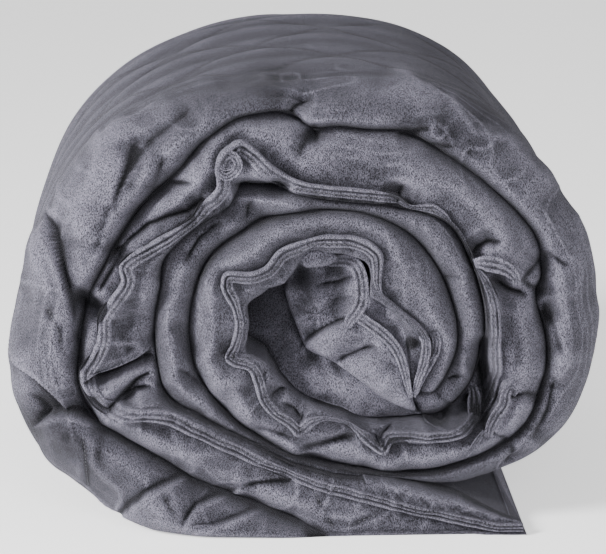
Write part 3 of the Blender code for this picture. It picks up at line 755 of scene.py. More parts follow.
# Folds as the photograph shows them: kind, width and height in millimetres, and the path in pixels.
# A shelf is an edge of cloth lying over what is on the right of its path.
FOLDS = (
    # left outer turn
    ("crease", 3.5, 5, ((203, 200), (188, 212), (168, 218), (150, 226), (129, 242), (111, 260))),
    ("crease", 4, 6, ((190, 184), (170, 185), (155, 197), (140, 213), (127, 230), (112, 254))),
    ("dent", 7, 14, ((83, 303), (94, 310))),
    ("crease", 5, 8, ((84, 305), (81, 322), (77, 341), (79, 352), (81, 368))),
    ("ridge", 6, 3, ((126, 240), (106, 268), (92, 290))),
    ("crease", 4, 4, ((124, 250), (108, 276), (99, 292))),
    ("shelf", 7, 6, ((88, 380), (98, 373), (117, 367), (136, 359), (147, 350))),
    ("crease", 2.6, 7, ((90, 382), (104, 379), (118, 373), (136, 365), (150, 357))),
    ("ridge", 5, 5, ((86, 388), (102, 388), (120, 382), (138, 372), (150, 364))),
    ("crease", 2.6, 6, ((106, 414), (116, 404), (128, 392), (137, 382), (148, 374))),
    ("crease", 3, 6, ((124, 402), (136, 392), (150, 388))),
    ("dent", 8, 2, ((134, 318), (134, 326))),
    ("dent", 7, 2, ((120, 338), (124, 350))),
    ("ridge", 5, 2, ((116, 334), (118, 346), (124, 356))),
    # outer fold left of the inner ring
    ("ridge", 8, 4, ((167, 305), (168, 330), (179, 350), (190, 366))),
    ("dent", 8, 7, ((178, 333), (188, 350))),
    ("crease", 5, 5, ((179, 370), (189, 377), (200, 386))),
    ("ridge", 7, 3, ((159, 373), (186, 391), (213, 407))),
    ("crease", 5, 3, ((152, 380), (178, 398), (205, 414))),
    ("crease", 5, 4, ((220, 224), (200, 240), (186, 262))),
    # outer puff of the inner ring
    ("dent", 11, 4, ((201, 350), (220, 353))),
    ("ridge", 9, 3, ((209, 391), (226, 384), (243, 382))),
    ("dent", 9, 4, ((230, 396), (242, 394))),
    ("crease", 5, 3, ((254, 429), (272, 433), (289, 439))),
    ("crease", 6, 5, ((300, 451), (324, 446), (352, 437))),
    ("dent", 10, 3, ((214, 318), (212, 334))),
    ("ridge", 9, 3, ((232, 262), (250, 250), (274, 240))),
    # inner puff of the inner ring
    ("crease", 2.5, 4, ((272, 396), (279, 391), (286, 389))),
    ("crease", 2.5, 3, ((284, 404), (294, 410), (302, 420))),
    ("crease", 6, 8, ((380, 443), (394, 429), (420, 427))),
    ("ridge", 6, 3, ((240, 300), (246, 318), (238, 338))),
    # core panel and the hollow's floor
    ("shelf", 6, 6, ((347, 323), (339, 327), (321, 336), (305, 346))),
    ("dent", 10, 4, ((306, 270), (326, 272))),
    ("crease", 4, 5, ((337, 363), (354, 356), (374, 348))),
    ("ridge", 5, 3, ((384, 388), (391, 372))),
    ("crease", 3, 4, ((318, 288), (339, 284), (353, 278))),
    ("crease", 4, 2, ((328, 302), (344, 299), (353, 297))),
    ("ridge", 5, 2.5, ((311, 366), (314, 378), (319, 391))),
    ("ridge", 6, 2.5, ((341, 372), (348, 390), (357, 410))),
    ("crease", 4, 4, ((434, 332), (434, 352), (427, 372), (418, 392))),
    # top
    ("dent", 12, 5, ((282, 105), (297, 106))),
    ("crease", 2.6, 4.5, ((299, 90), (303, 98), (301, 106), (290, 113))),
    ("dent", 15, 3, ((410, 130), (436, 135), (458, 148))),
    ("crease", 5, 7, ((315, 127), (316, 142))),
    ("crease", 6, 4, ((311, 136), (299, 154))),
    ("crease", 4, 4, ((400, 136), (412, 133), (428, 131))),
    ("crease", 4, 3, ((428, 145), (455, 148))),
    ("ridge", 14, 5, ((189, 160), (197, 170), (205, 181))),
    ("crease", 2.5, 9, ((236, 187), (262, 187), (288, 188))),
    ("ridge", 7, 5, ((254, 164), (258, 176), (270, 181))),
    ("crease", 5, 5, ((403, 187), (400, 196), (398, 205))),
    ("ridge", 6, 2, ((403, 181), (432, 181))),
    ("crease", 7, 6, ((250, 203), (248, 212), (246, 223))),
    ("ridge", 10, 4, ((303, 204), (288, 210), (270, 220))),
    ("dent", 12, 2, ((335, 153), (352, 158), (380, 158))),
    ("ridge", 8, 3, ((256, 130), (278, 128), (300, 134))),
    # right
    ("crease", 5, 3, ((441, 277), (459, 278))),
    ("crease", 5, 4, ((450, 380), (464, 378))),
    ("crease", 5, 3, ((437, 395), (449, 406))),
    ("crease", 4, 7, ((494, 281), (510, 292), (527, 298))),
    ("crease", 4, 5, ((524, 285), (544, 297))),
    ("crease", 3.5, 6, ((472, 257), (479, 249), (488, 244), (500, 243))),
    ("ridge", 5, 3, ((482, 252), (496, 249), (510, 252))),
    ("crease", 5, 6, ((525, 283), (536, 271), (546, 259))),
    ("dent", 7, 9, ((546, 298), (551, 317))),
    ("crease", 5, 10, ((485, 340), (487, 375), (485, 404))),
    ("ridge", 5, 3, ((490, 290), (492, 310), (498, 345), (502, 384))),
    ("crease", 5, 5, ((510, 398), (527, 395), (540, 398))),
    ("ridge", 6, 3, ((511, 405), (543, 407))),
    ("crease", 4, 4, ((486, 431), (500, 439), (512, 441))),
    ("dent", 12, 6, ((470, 406), (478, 424))),
    ("crease", 4, 3, ((547, 253), (554, 258), (566, 266))),
    ("crease", 7, 4, ((547, 309), (556, 330), (562, 354))),
    ("ridge", 7, 3, ((556, 316), (570, 366))),
    ("crease", 5, 4, ((513, 448), (516, 471))),
    ("crease", 6, 4, ((556, 380), (548, 410), (534, 440))),
    # near part of the rim
    ("ridge", 10, 4, ((130, 124), (110, 162), (101, 179), (81, 207), (78, 234))),
    ("ridge", 7, 3, ((124, 160), (115, 181), (110, 215))),
    ("ridge", 7, 3, ((149, 150), (146, 166), (141, 183))),
    ("crease", 8, 2.2, ((140, 140), (119, 188), (113, 214))),
    ("crease", 7, 3, ((163, 157), (152, 196))),
    ("ridge", 11, 1.8, ((176, 97), (140, 125), (112, 160), (92, 200), (80, 240), (72, 282))),
    ("crease", 8, 2.2, ((190, 112), (155, 138), (128, 172), (108, 210), (95, 252))),
    ("ridge", 10, 2, ((200, 125), (168, 150), (142, 185), (122, 222), (106, 258))),
    ("crease", 8, 3, ((207, 140), (180, 165), (155, 196), (135, 228))),
    ("ridge", 8, 3, ((43, 236), (46, 268), (53, 300))),
    ("shelf", 7, 6, ((71, 322), (66, 296), (60, 268), (55, 245), (50, 222))),
    ("ridge", 12, 3, ((209, 109), (200, 128), (192, 151))),
    ("ridge", 9, 2, ((214, 86), (176, 99), (148, 111), (123, 136), (100, 150))),
    ("ridge", 8, 3, ((394, 74), (420, 91), (449, 102), (472, 131), (504, 143), (523, 163), (547, 188))),
    # left outer fold
    ("shelf", 8, 5, ((17, 357), (36, 378), (55, 402), (66, 417))),
    ("shelf", 13, 9, ((98, 425), (71, 419), (52, 421), (36, 426))),
    ("dent", 14, 7, ((44, 414), (72, 410))),
    ("crease", 1.6, 0.7, ((49, 310), (59, 332), (61, 342))),
    ("crease", 1.6, 0.7, ((25, 395), (36, 408))),
    ("crease", 1.6, 0.7, ((83, 438), (86, 460), (88, 484))),
    ("crease", 1.6, 0.7, ((162, 491), (171, 509), (181, 529))),
    # bottom
    ("shelf", 9, 4.5, ((186, 478), (165, 486), (147, 495), (125, 514))),
    ("shelf", 8, 3.5, ((240, 493), (218, 500), (198, 508), (186, 524))),
    ("shelf", 8, 3, ((262, 510), (240, 519), (214, 530), (190, 536))),
    # tongue
    ("ridge", 4, 3, ((111, 416), (135, 404), (158, 400))),
    ("ridge", 4, 3, ((119, 421), (143, 412), (166, 416))),
    ("ridge", 5, 2, ((111, 437), (135, 441), (159, 443))),
    ("ridge", 6, 2, ((149, 449), (198, 454), (221, 453))),
    ("crease", 5, 4, ((245, 488), (268, 483), (291, 481))),
    ("crease", 1.6, 0.7, ((316, 495), (332, 525))),
    ("crease", 1.6, 0.7, ((350, 526), (374, 516))),
)


def path_places(path, px, py):
    """Distance to a path, how far inside its ends, which side, and the path's length, in pixels."""
    path = np.array(path, float)
    lengths = np.hypot(*(path[1:] - path[:-1]).T)
    starts = np.concatenate([[0], np.cumsum(lengths)])
    nearest, inside, side = np.full(len(px), 1e9), np.zeros(len(px)), np.ones(len(px))
    for start, end, length, before in zip(path[:-1], path[1:], lengths, starts):
        step = (end - start) / length
        dx, dy = px - start[0], py - start[1]
        reached = dx * step[0] + dy * step[1]
        share = np.clip(reached, 0, length)
        gap = np.hypot(dx - share * step[0], dy - share * step[1])
        closer = gap < nearest
        nearest = np.where(closer, gap, nearest)
        from_start = before + (reached if before == 0 else np.maximum(reached, 0))
        past = reached if before + length == starts[-1] else np.minimum(reached, length)
        from_end = starts[-1] - before - past
        inside = np.where(closer, np.minimum(from_start, from_end), inside)
        side = np.where(closer, np.sign(step[0] * dy - step[1] * dx), side)
    return nearest, inside, side, starts[-1]


FOLD_GAIN = 1.8
FOLD_EDGE = 0.9                              # how round the bottom of a crease is
FOLD_FADE = (2.4, 3.9)                       # widths from its path between which a fold runs out
FOLD_MARGIN = 4.0                            # widths round its path in which it is worked out
FOLD_ENDS = {"ridge": 16.0, "crease": 10.0, "shelf": 10.0}       # most pixels in which its ends taper off
FOLDED_DEPTHS = (70, 150)                    # behind the near end, between which the folds run out


def fold_height(kind, gap, width, side):
    """Height of a fold, of its full height, by distance and width in millimetres."""
    reach = (np.sqrt(gap ** 2 + FOLD_EDGE ** 2) - FOLD_EDGE) / width
    if kind == "crease":
        return -0.6 * np.exp(-reach / 0.6) - 0.5 * np.exp(-(reach / 2.2) ** 2)
    if kind == "dent":
        return -0.7 * np.exp(-reach ** 2)
    if kind == "ridge":
        return 0.5 * np.exp(-reach / 0.8) + 0.5 * np.exp(-(reach / 1.6) ** 2)
    over = 0.45 * np.exp(-reach / 2.0)
    return np.where(side < 0, over, over - 1.35 * smooth_step(gap, 0, 2.5) * np.exp(-reach / 1.6))


def fold_relief(points, facing):
    """Height in millimetres of all folds, at points that face the camera by these shares."""
    px, py = photo_places(points)
    height = np.zeros(len(points))
    for kind, width, tall, path in FOLDS:
        xs, ys = np.array(path, float).T
        margin = FOLD_MARGIN * width / PX_MM
        near = (px > xs.min() - margin) & (px < xs.max() + margin)
        near &= (py > ys.min() - margin) & (py < ys.max() + margin) & (facing > 0)
        chosen = np.nonzero(near)[0]
        gap, inside, side, length = path_places(path, px[chosen], py[chosen])
        gap = gap * PX_MM
        taper = 1 - smooth_step(gap, FOLD_FADE[0] * width, FOLD_FADE[1] * width)
        if kind in FOLD_ENDS:
            soft = min(FOLD_ENDS[kind], 0.3 * length + 3.0)
            taper = smooth_step(inside, -soft, soft) * taper
        height[chosen] += FOLD_GAIN * tall * taper * fold_height(kind, gap, width, side)
    return height * facing * (1 - smooth_step(points[:, 1] - NEAR_Y, *FOLDED_DEPTHS))


# Wavelengths across, along and up, in millimetres
BROAD_WAVES, SMALL_WAVES, SHARP_WRINKLES = (52, 80, 52), (25, 44, 25), (21, 36, 21)
WARP_WAVE, WARP_REACH = 44, 11               # how the small ones wander
WRINKLED_WAVE = 70                           # of the patches that are more wrinkled
CALM_DEPTHS = (35, 110)                      # behind the near end, between which the plush grows calm


def wrinkle_relief(points):
    """Soft wrinkles of the filled plush, everywhere; long ones run round the roll."""
    spot = points - [CENTRE_X, NEAR_Y, CENTRE_Z]
    radius = np.hypot(spot[:, 0], spot[:, 2])
    turn = np.arctan2(spot[:, 2], spot[:, 0])
    warp = np.stack([noise(points / WARP_WAVE, seed) for seed in (21, 22, 23)], -1)
    bent = points + WARP_REACH * warp
    soft = 2.4 * noise(points / BROAD_WAVES, 11) + 1.2 * noise(bent / SMALL_WAVES, 12)
    outward = (radius + 0.8 * spot[:, 1]) / 15 + 1.2 * warp[:, 0]
    round_about = np.stack([outward, 3.4 * np.cos(turn), 3.4 * np.sin(turn)], -1)
    long_folds = 1 - np.abs(noise(round_about, 16))
    sharp = 1 - np.abs(noise(bent / SHARP_WRINKLES, 13))
    patches = np.clip(0.35 + 1.1 * noise(points / WRINKLED_WAVE, 15), 0, 1)
    wrinkled = 1.8 * patches * (sharp ** 4 - 0.25) + 0.8 * (long_folds ** 3 - 0.35)
    calm = smooth_step(spot[:, 1], *CALM_DEPTHS)
    return soft * (1.25 - 0.9 * calm) + wrinkled * (1 - 0.9 * calm)


def relieve(piece, raised=0.0, lifts=None):
    """Raises a piece's folds, its wrinkles and what else is given, along its lifts or out of the end."""
    points, normals = points_and_normals(piece.data)
    if lifts is None:
        lifts = np.tile([0.0, -1.0, 0.0], (len(points), 1))
    toward = CAMERA_PLACE - points
    toward /= np.linalg.norm(toward, axis=1)[:, None]
    facing = np.clip((np.sum(normals * toward, 1) + 0.15) * 4, 0, 1)
    height = fold_relief(points, facing) + wrinkle_relief(points) * np.clip(0.25 + facing, 0, 1) + raised
    above = np.where(lifts[:, 1] < -0.9, 1.0, np.clip((points[:, 2] - 1) / REST_HEIGHT, 0, 1))
    points += lifts * (height * above)[:, None]
    points[:, 2] = np.maximum(points[:, 2], 0)
    piece.data.vertices.foreach_set("co", (points * MM).astype(np.float32).ravel())
    piece.data.update()


# ------------------------------------------------------------------ painted light and shade of the nap

# Painted shading: the colour is painted lighter on crests and darker in hollows, by how far each point
# stands out from its evened surroundings
SHADING_STEPS = (4, 40)                          # rounds of evening out, for fine and for broad crests
SHADING_SHARES = (0.6, 0.85)                     # how much each of the two counts
SHADING_REACHES = (0.35, 2.2)                    # millimetres at which the tone is nearly full
EVEN_SHARE = 0.6                             # how far a round moves a point to the middle of its neighbours
PATCHED_DEPTHS = (110, 190)                  # behind the near end, between which the patches run out
# Painted patches of light and shade, lighter where the amount is positive and darker where negative: place
# and reach in pixels, and how much
PAINTED_PATCHES = (
    (38, 414, 30, -0.5), (64, 440, 26, -0.3), (92, 458, 30, -0.25), (140, 476, 30, -0.15),
    (96, 400, 16, 0.15), (246, 434, 20, 0.16), (210, 400, 22, 0.12), (322, 470, 22, 0.12),
    (360, 512, 24, 0.1), (436, 400, 12, 0.15), (285, 133, 20, 0.12), (399, 168, 24, -0.12),
    (556, 326, 22, -0.15), (286, 360, 14, 0.15), (474, 436, 16, -0.12), (58, 300, 26, -0.2),
    (95, 262, 22, -0.12), (150, 165, 26, -0.2), (190, 116, 24, -0.2), (268, 88, 30, -0.3),
    (330, 112, 26, -0.15), (418, 128, 24, -0.2), (458, 140, 28, -0.25), (500, 122, 24, -0.2),
    (190, 225, 26, -0.15), (470, 415, 24, -0.15), (340, 350, 24, 0.2), (418, 385, 16, 0.2),
    (110, 325, 22, 0.12), (250, 165, 20, 0.1), (532, 410, 20, -0.15), (510, 300, 24, 0.08),
    (200, 480, 30, -0.1), (420, 60, 40, 0.1), (317, 536, 8, -0.9), (312, 530, 7, -0.4),
    (411, 343, 6, -1.2), (475, 368, 9, -0.3), (484, 372, 7, -0.6), (482, 412, 9, -0.6),
    (430, 421, 8, -0.35),
)


def stands_out(points, normals, pairs):
    """How far each point stands out from its evened surroundings, once for each of the shading steps."""
    lengths = np.linalg.norm(points[pairs[:, 0]] - points[pairs[:, 1]], axis=1)
    weights = 1 / (lengths + 0.3)
    count = len(points)
    total = np.bincount(pairs[:, 0], weights, count) + np.bincount(pairs[:, 1], weights, count)
    even, stands = points.copy(), []
    for step in range(SHADING_STEPS[-1]):
        gathered = np.zeros_like(even)
        for axis in range(3):
            gathered[:, axis] += np.bincount(pairs[:, 0], weights * even[pairs[:, 1], axis], count)
            gathered[:, axis] += np.bincount(pairs[:, 1], weights * even[pairs[:, 0], axis], count)
        even = (1 - EVEN_SHARE) * even + EVEN_SHARE * gathered / total[:, None]
        if step + 1 in SHADING_STEPS:
            stands.append(np.sum((points - even) * normals, 1))
    return stands


def store_painted_light_and_shade(piece, painted_offset, shade=0.0):
    """Stores the painted light and shade of a piece's colour: painted highlight on crests, painted shade in
    hollows and creases, painted patches, and the piece's offset.
    """
    data = piece.data
    points, normals = points_and_normals(data)
    pairs = np.zeros(len(data.edges) * 2, np.int32)
    data.edges.foreach_get("vertices", pairs)
    stands = stands_out(points, normals, pairs.reshape(-1, 2))
    tone = 0
    for stand, share, reach in zip(stands, SHADING_SHARES, SHADING_REACHES):
        tone = tone + share * np.tanh(stand / reach)
    # painted shade in the creases between layers
    tone = tone - 2 * shade
    px, py = photo_places(points)
    near = 1 - smooth_step(points[:, 1] - NEAR_Y, *PATCHED_DEPTHS)
    # painted patches of light and shade
    for middle_x, middle_y, reach, much in PAINTED_PATCHES:
        tone = tone + 2 * much * near * np.exp(-((px - middle_x) ** 2 + (py - middle_y) ** 2) / reach ** 2)
    # stored for the shader, which multiplies the nap's colour by it
    stored = data.attributes.new("painted_light_and_shade", "FLOAT", "POINT")
    # with the piece's painted light offset added
    stored.data.foreach_set("value", np.clip(0.5 + painted_offset + 0.5 * tone, 0, 1).astype(np.float32))


# ------------------------------------------------------------------ loose parts of the core and hem

PANEL_STEP, BAND_STEP = 1.3, 1.2             # pixels between the points of a panel, and along a band
TOP_STEPS, UNDER_STEPS = 15, 7               # points across a band, on top and underneath


def smooth_path(rows, step):
    """Evenly spaced points of the smooth curve through rows of numbers; the first two set the spacing."""
    rows = np.array(rows, float)
    places = np.concatenate([[0], np.cumsum(np.hypot(*(rows[1:, :2] - rows[:-1, :2]).T))])
    wanted = np.linspace(0, places[-1], max(3, round(places[-1] / step) + 1))
    return np.stack([smooth_curve(places, column, wanted) for column in rows.T], 1)


def spread_depth(rows, px, py):
    """Depth at places in pixels, spread smoothly from a few known ones."""
    rows = np.array(rows, float)
    gaps = (px[:, None] - rows[:, 0]) ** 2 + (py[:, None] - rows[:, 1]) ** 2 + 40.0
    weights = gaps ** -1.5
    return (weights * rows[:, 2]).sum(1) / weights.sum(1)


def within(closed, xs, ys):
    """Which places lie within a closed path."""
    crossings = np.zeros(len(xs), bool)
    for (ax, ay), (bx, by) in zip(closed[:-1], closed[1:]):
        spans = (ay > ys) != (by > ys)
        reach = (bx - ax) * (ys - ay) / (by - ay if by != ay else 1) + ax
        crossings ^= spans & (xs < reach)
    return crossings


def panel(name, outline, depths, rounding, thickness):
    """A soft panel of cloth filling an outline drawn in pixels, closed behind."""
    edge = smooth_path([*outline, outline[0]], PANEL_STEP)[:-1]
    closed = np.concatenate([edge, edge[:1]])
    low, high = edge.min(0), edge.max(0)
    xs, ys = np.meshgrid(np.arange(low[0], high[0], PANEL_STEP), np.arange(low[1], high[1], PANEL_STEP))
    xs, ys = xs.ravel(), ys.ravel()
    kept = within(closed, xs, ys) & (path_places(closed, xs, ys)[0] > PANEL_STEP * 0.6)
    flat = np.concatenate([edge, np.stack([xs[kept], ys[kept]], 1)])
    count = len(edge)
    rim = [(number, (number + 1) % count) for number in range(count)]
    flat_vectors = [Vector(place) for place in flat.tolist()]
    vertices, _, faces, originals, _, _ = delaunay_2d_cdt(flat_vectors, rim, [], 1, 1e-5)
    px, py = np.array([tuple(place) for place in vertices]).T
    share = np.clip(path_places(closed, px, py)[0] * PX_MM / rounding, 0, 1)
    depth = spread_depth(depths, px, py) + rounding * (1 - np.sqrt(1 - (1 - share) ** 2))
    front = placed(px, py, depth)
    border = [index for index, source in enumerate(originals) if any(item < count for item in source)]
    border.sort(key=lambda index: min(item for item in originals[index] if item < count))
    back = front[border].copy()
    back[:, 1] += thickness
    behind = [len(front) + number for number in range(len(border))]
    shape = [list(face) for face in faces]
    for number in range(len(border)):
        shape.append([border[number - 1], border[number], behind[number], behind[number - 1]])
    shape.append(behind)
    piece = mesh_object(name, np.concatenate([front, back]), shape)
    turn_outward(piece)
    return piece


def turn_outward(piece):
    """Turns every face outward."""
    work = bmesh.new()
    work.from_mesh(piece.data)
    bmesh.ops.recalc_face_normals(work, faces=work.faces)
    if work.calc_volume(signed=True) < 0:
        bmesh.ops.reverse_faces(work, faces=work.faces)
    work.to_mesh(piece.data)
    work.free()
    piece.data.shade_smooth()


def hem_band(name, rows, side):
    """A loose length of ribbed hem; rows hold its free edge in pixels, its depth and its width's share.

    The base lies on the right of the path when side is 1, on the left when it is -1.
    """
    path = smooth_path(rows, BAND_STEP)
    middle, deep, wide = path[:, :2], path[:, 2:3], path[:, 3:4]
    steps = np.gradient(middle, axis=0)
    steps /= np.hypot(steps[:, 0], steps[:, 1])[:, None]
    across = np.stack([-steps[:, 1], steps[:, 0]], 1) * side
    number = np.arange(len(path))
    wave = 0.7 * along_noise(number * 0.9, 6, 41)[:, None]
    ends = np.clip(np.minimum(number, number[::-1]) / 3, 0, 1)[:, None]
    share = np.linspace(0, 1, TOP_STEPS)
    under_share = np.linspace(1, 0, UNDER_STEPS)
    top_d = deep + HEM_LIFT * share - ribs(share) * wide + wave
    top_d = top_d + (1 - np.sqrt(ends)) * HEM_THICKNESS * 0.6
    under_d = deep + wave + HEM_THICKNESS + HEM_LIFT * under_share
    ring = []
    for shares, depth in ((share, top_d), (under_share, under_d)):
        reach = HEM_WIDTH / PX_MM * wide * shares
        px, py = middle[:, :1] + across[:, :1] * reach, middle[:, 1:] + across[:, 1:] * reach
        ring.append(placed(px, py, depth))
    ring = np.concatenate(ring, 1)
    index = np.arange(ring.shape[0] * ring.shape[1]).reshape(ring.shape[:2])
    index = np.concatenate([index, index[:, :1]], 1)
    faces = grid_quads(index).tolist()
    faces += [index[0, :-1].tolist(), index[-1, :-1][::-1].tolist()]
    piece = mesh_object(name, ring.reshape(-1, 3), faces)
    turn_outward(piece)
    return piece


# Outlines in pixels, and depths in millimetres at places in pixels
CORE_PANEL = (
    (298, 258), (330, 254), (345, 252), (357, 259), (363, 270), (366, 288), (364, 309), (366, 316),
    (384, 330), (402, 350), (409, 375), (412, 397), (415, 410), (402, 407), (384, 398), (360, 380),
    (342, 368), (330, 360), (305, 346), (297, 327), (288, 303), (285, 289), (290, 274),
)
CORE_PANEL_DEPTH = (
    (295, 275, 62), (288, 300, 50), (300, 335, 36), (310, 350, 27), (330, 362, 22), (360, 382, 15),
    (385, 399, 9), (412, 408, 3), (408, 375, 8), (398, 345, 12), (365, 320, 17), (366, 290, 18),
    (357, 262, 24), (330, 262, 46), (330, 300, 32), (340, 340, 18), (375, 365, 10),
)
CORE_FILL = (
    (362, 292), (371, 290), (386, 302), (400, 314), (410, 328), (413, 346), (414, 366), (414, 388),
    (408, 372), (401, 350), (388, 334), (374, 322), (363, 314),
)
CORE_FILL_DEPTH = (
    (362, 300, 30), (375, 300, 20), (398, 316, 15), (410, 335, 13), (413, 370, 10), (390, 330, 22),
    (370, 318, 26),
)
CORE_FLAP = ((296, 256), (310, 249), (330, 250), (338, 258), (331, 264), (318, 267), (305, 267))
CORE_FLAP_DEPTH = ((298, 258, 20), (312, 262, 20), (335, 258, 24))
# Loose bands of hem: on which side of the path the base lies, then the path along the free edge,
# as pixels, depth and share of the full width
LOOSE_HEMS = {
    "core_hem_upper": (1, (
        (312, 256, 74, 0.5), (324, 257, 52, 0.7), (335, 255, 38, 0.85), (347, 254, 27, 0.95),
        (359, 259, 19, 1), (366, 271, 14, 1), (369, 288, 12, 1), (368, 304, 12, 1), (362, 316, 13, 0.95),
        (354, 325, 16, 0.85), (348, 331, 21, 0.5),
    )),
    "core_hem_lower": (1, (
        (352, 308, 22, 0.7), (364, 314, 13, 0.8), (375, 321, 10, 0.85), (387, 330, 8, 0.85),
        (398, 342, 6, 0.8), (405, 355, 5, 0.75), (409, 370, 4, 0.65), (411, 384, 3, 0.5),
        (413, 398, 3, 0.3),
    )),
    "hem_swirl": (-1, (
        (214, 172, -4, 0.5), (224, 181, -6, 0.6), (237, 177, -7, 0.65), (243, 166, -7, 0.65),
        (239, 155, -7, 0.65), (228, 150, -7, 0.6), (218, 156, -6, 0.55), (217, 165, -6, 0.5),
        (224, 171, -6, 0.4), (233, 168, -5, 0.35), (234, 162, -4, 0.25), (229, 160, -3, 0.2),
    )),
    "hem_gather": (1, (
        (473, 259, 2, 0.7), (483, 256, 0, 1.1), (495, 257, 0, 1.15), (507, 261, 0, 1.1),
        (516, 268, 1, 0.95), (521, 277, 2, 0.8), (520, 286, 5, 0.5),
    )),
    "hem_tuck": (1, (
        (476, 384, 27, 0.6), (480, 394, 25, 0.9), (481, 405, 24, 1), (480, 416, 24, 0.9),
        (476, 427, 26, 0.6),
    )),
    "hem_tail": (1, ((486, 432, 4, 0.3), (481, 441, 3, 0.45), (475, 449, 4, 0.4), (467, 458, 8, 0.2))),
    "hem_loop": (1, (
        (484, 436, 6, 0.6), (486, 425, 4, 0.7), (492, 412, 2, 0.8), (499, 402, 2, 0.8),
        (501, 392, 2, 0.75), (507, 384, 2, 0.7), (515, 384, 3, 0.6), (519, 390, 4, 0.5),
        (515, 397, 6, 0.4),
    )),
    "hem_cluster_1": (1, (
        (424, 329, 8, 0.7), (430, 338, 5, 0.7), (431, 352, 4, 0.7), (428, 366, 3, 0.65),
        (421, 384, 3, 0.55), (416, 398, 4, 0.35),
    )),
    "hem_cluster_2": (1, (
        (436, 329, 9, 0.6), (441, 338, 7, 0.7), (440, 352, 6, 0.7), (433, 366, 5, 0.7),
        (425, 380, 5, 0.6), (417, 396, 6, 0.35),
    )),
}


def loose_parts():
    """The core's folded panel, its filling and flap, and the loose lengths of hem."""
    return [
        panel("core_panel", CORE_PANEL, CORE_PANEL_DEPTH, rounding=9.0, thickness=26.0),
        panel("core_fill", CORE_FILL, CORE_FILL_DEPTH, rounding=6.0, thickness=20.0),
        panel("core_flap", CORE_FLAP, CORE_FLAP_DEPTH, rounding=4.0, thickness=14.0),
        *[hem_band(name, path, side) for name, (side, path) in LOOSE_HEMS.items()],
    ]


# ------------------------------------------------------------------ node trees

def node(tree, kind, **settings):
    """A new node of a tree, with its settings."""
    made = tree.nodes.new(kind)
    for key, value in settings.items():
        setattr(made, key, value)
    return made


def join(tree, *links):
    """Links outputs to inputs."""
    for start, end in links:
        tree.links.new(start, end)


def ramp(tree, *stops):
    """A colour ramp through places and their colours."""
    made = node(tree, "ShaderNodeValToRGB")
    elements = made.color_ramp.elements
    for element, (place, colour) in zip(elements, (stops[0], stops[-1])):
        element.position, element.color = place, colour
    for place, colour in stops[1:-1]:
        elements.new(place).color = colour
    return made


def shaded_tree(name):
    """A new material, its node tree and its shader."""
    material = bpy.data.materials.new(name)
    material.use_nodes = True
    return material, material.node_tree, material.node_tree.nodes["Principled BSDF"]


# ------------------------------------------------------------------ stitches

PITCH = 3.4                                  # of the stitches, in millimetres
STITCH_LENGTH, STITCH_WIDTH = 2.2, 0.55
STITCH_SHARE = 0.335                         # of the way from the hem's base to its free edge
SHOWN_WIDTH = 5.0                            # a narrower band shows no stitches
HIDDEN_BY = 7.0                              # this far off the hem's own depth, something lies over it
HEM_STEP, END_STEP = 2.5, 8.0                # jumps in depth that break a line, on the hem and on the end
RIM_STITCH_DEPTHS = (62.0, 352.0, 3.0)       # from, to and step
RIM_STITCH_TURNS = (345.0, 560.0)
RIM_LINES = range(5, 20)                     # the diamonds' lines that may cross those turns
# Where the photograph shows quilting, in pixels
QUILT_LINES = (
    ((48, 308), (54, 322), (59, 334), (61, 343)),
    ((24, 394), (30, 401), (36, 408)),
    ((83, 438), (85, 452), (86, 466), (88, 484)),
    ((160, 487), (166, 499), (171, 509), (181, 529)),
    ((316, 495), (322, 507), (327, 516), (332, 525)),
    ((350, 526), (361, 521), (374, 516)),
    ((135, 505), (158, 517), (180, 529)),
)


def touched(skin, origin, direction):
    """Where a ray meets the skin, in millimetres, or nothing."""
    along = Vector(direction.tolist()).normalized()
    found, place, _, _ = skin.ray_cast(Vector((origin * MM).tolist()), along)
    return np.array(place) / MM if found else None


def hem_runs(skin):
    """Lines along the hem's stitches, broken where they are hidden or jump in depth."""
    runs, run = [], []
    widths, expected = hem_widths(), crown_of(HEM_DEPTH)
    for number in range(6, len(STATIONS) - 6, 2):
        x, z = HEM_LINE[number] + HEM_INWARD[number] * widths[number] * (1 - STITCH_SHARE)
        place = touched(skin, np.array([x, NEAR_Y - 90, z]), np.array([0.0, 1.0, 0.0]))
        fits = place is not None and widths[number] > SHOWN_WIDTH
        fits = fits and abs(place[1] - NEAR_Y - expected[number]) < HIDDEN_BY
        if run and (not fits or abs(place[1] - run[-1][1]) > HEM_STEP):
            runs.append(run)
            run = []
        if fits:
            run.append(place)
    return [*runs, run]


def rim_runs(skin):
    """Lines round the rim, both ways, where its diamonds meet."""
    runs = []
    first, last = RIM_STITCH_TURNS
    for lean in (-1, 1):
        for number in RIM_LINES:
            run = []
            for depth in np.arange(*RIM_STITCH_DEPTHS):
                turn = math.degrees((number * DIAMOND_MM + lean * depth) / RIM_GIRTH)
                if first < turn < last:
                    away = np.array([math.cos(math.radians(turn)), 0, math.sin(math.radians(turn))])
                    middle = np.array([CENTRE_X, NEAR_Y + depth, CENTRE_Z])
                    place = touched(skin, middle + 500 * away, -away)
                    if place is not None:
                        run.append(place)
            runs.append(run)
    return runs


def end_runs(skin):
    """Lines of the quilting that shows on the near end."""
    runs = []
    for line in QUILT_LINES:
        run = []
        for px, py in smooth_path(line, 1.5):
            place = touched(skin, CAMERA_PLACE, pixel_ray(px, py))
            if place is not None and (not run or abs(place[1] - run[-1][1]) < END_STEP):
                run.append(place)
        runs.append(run)
    return runs


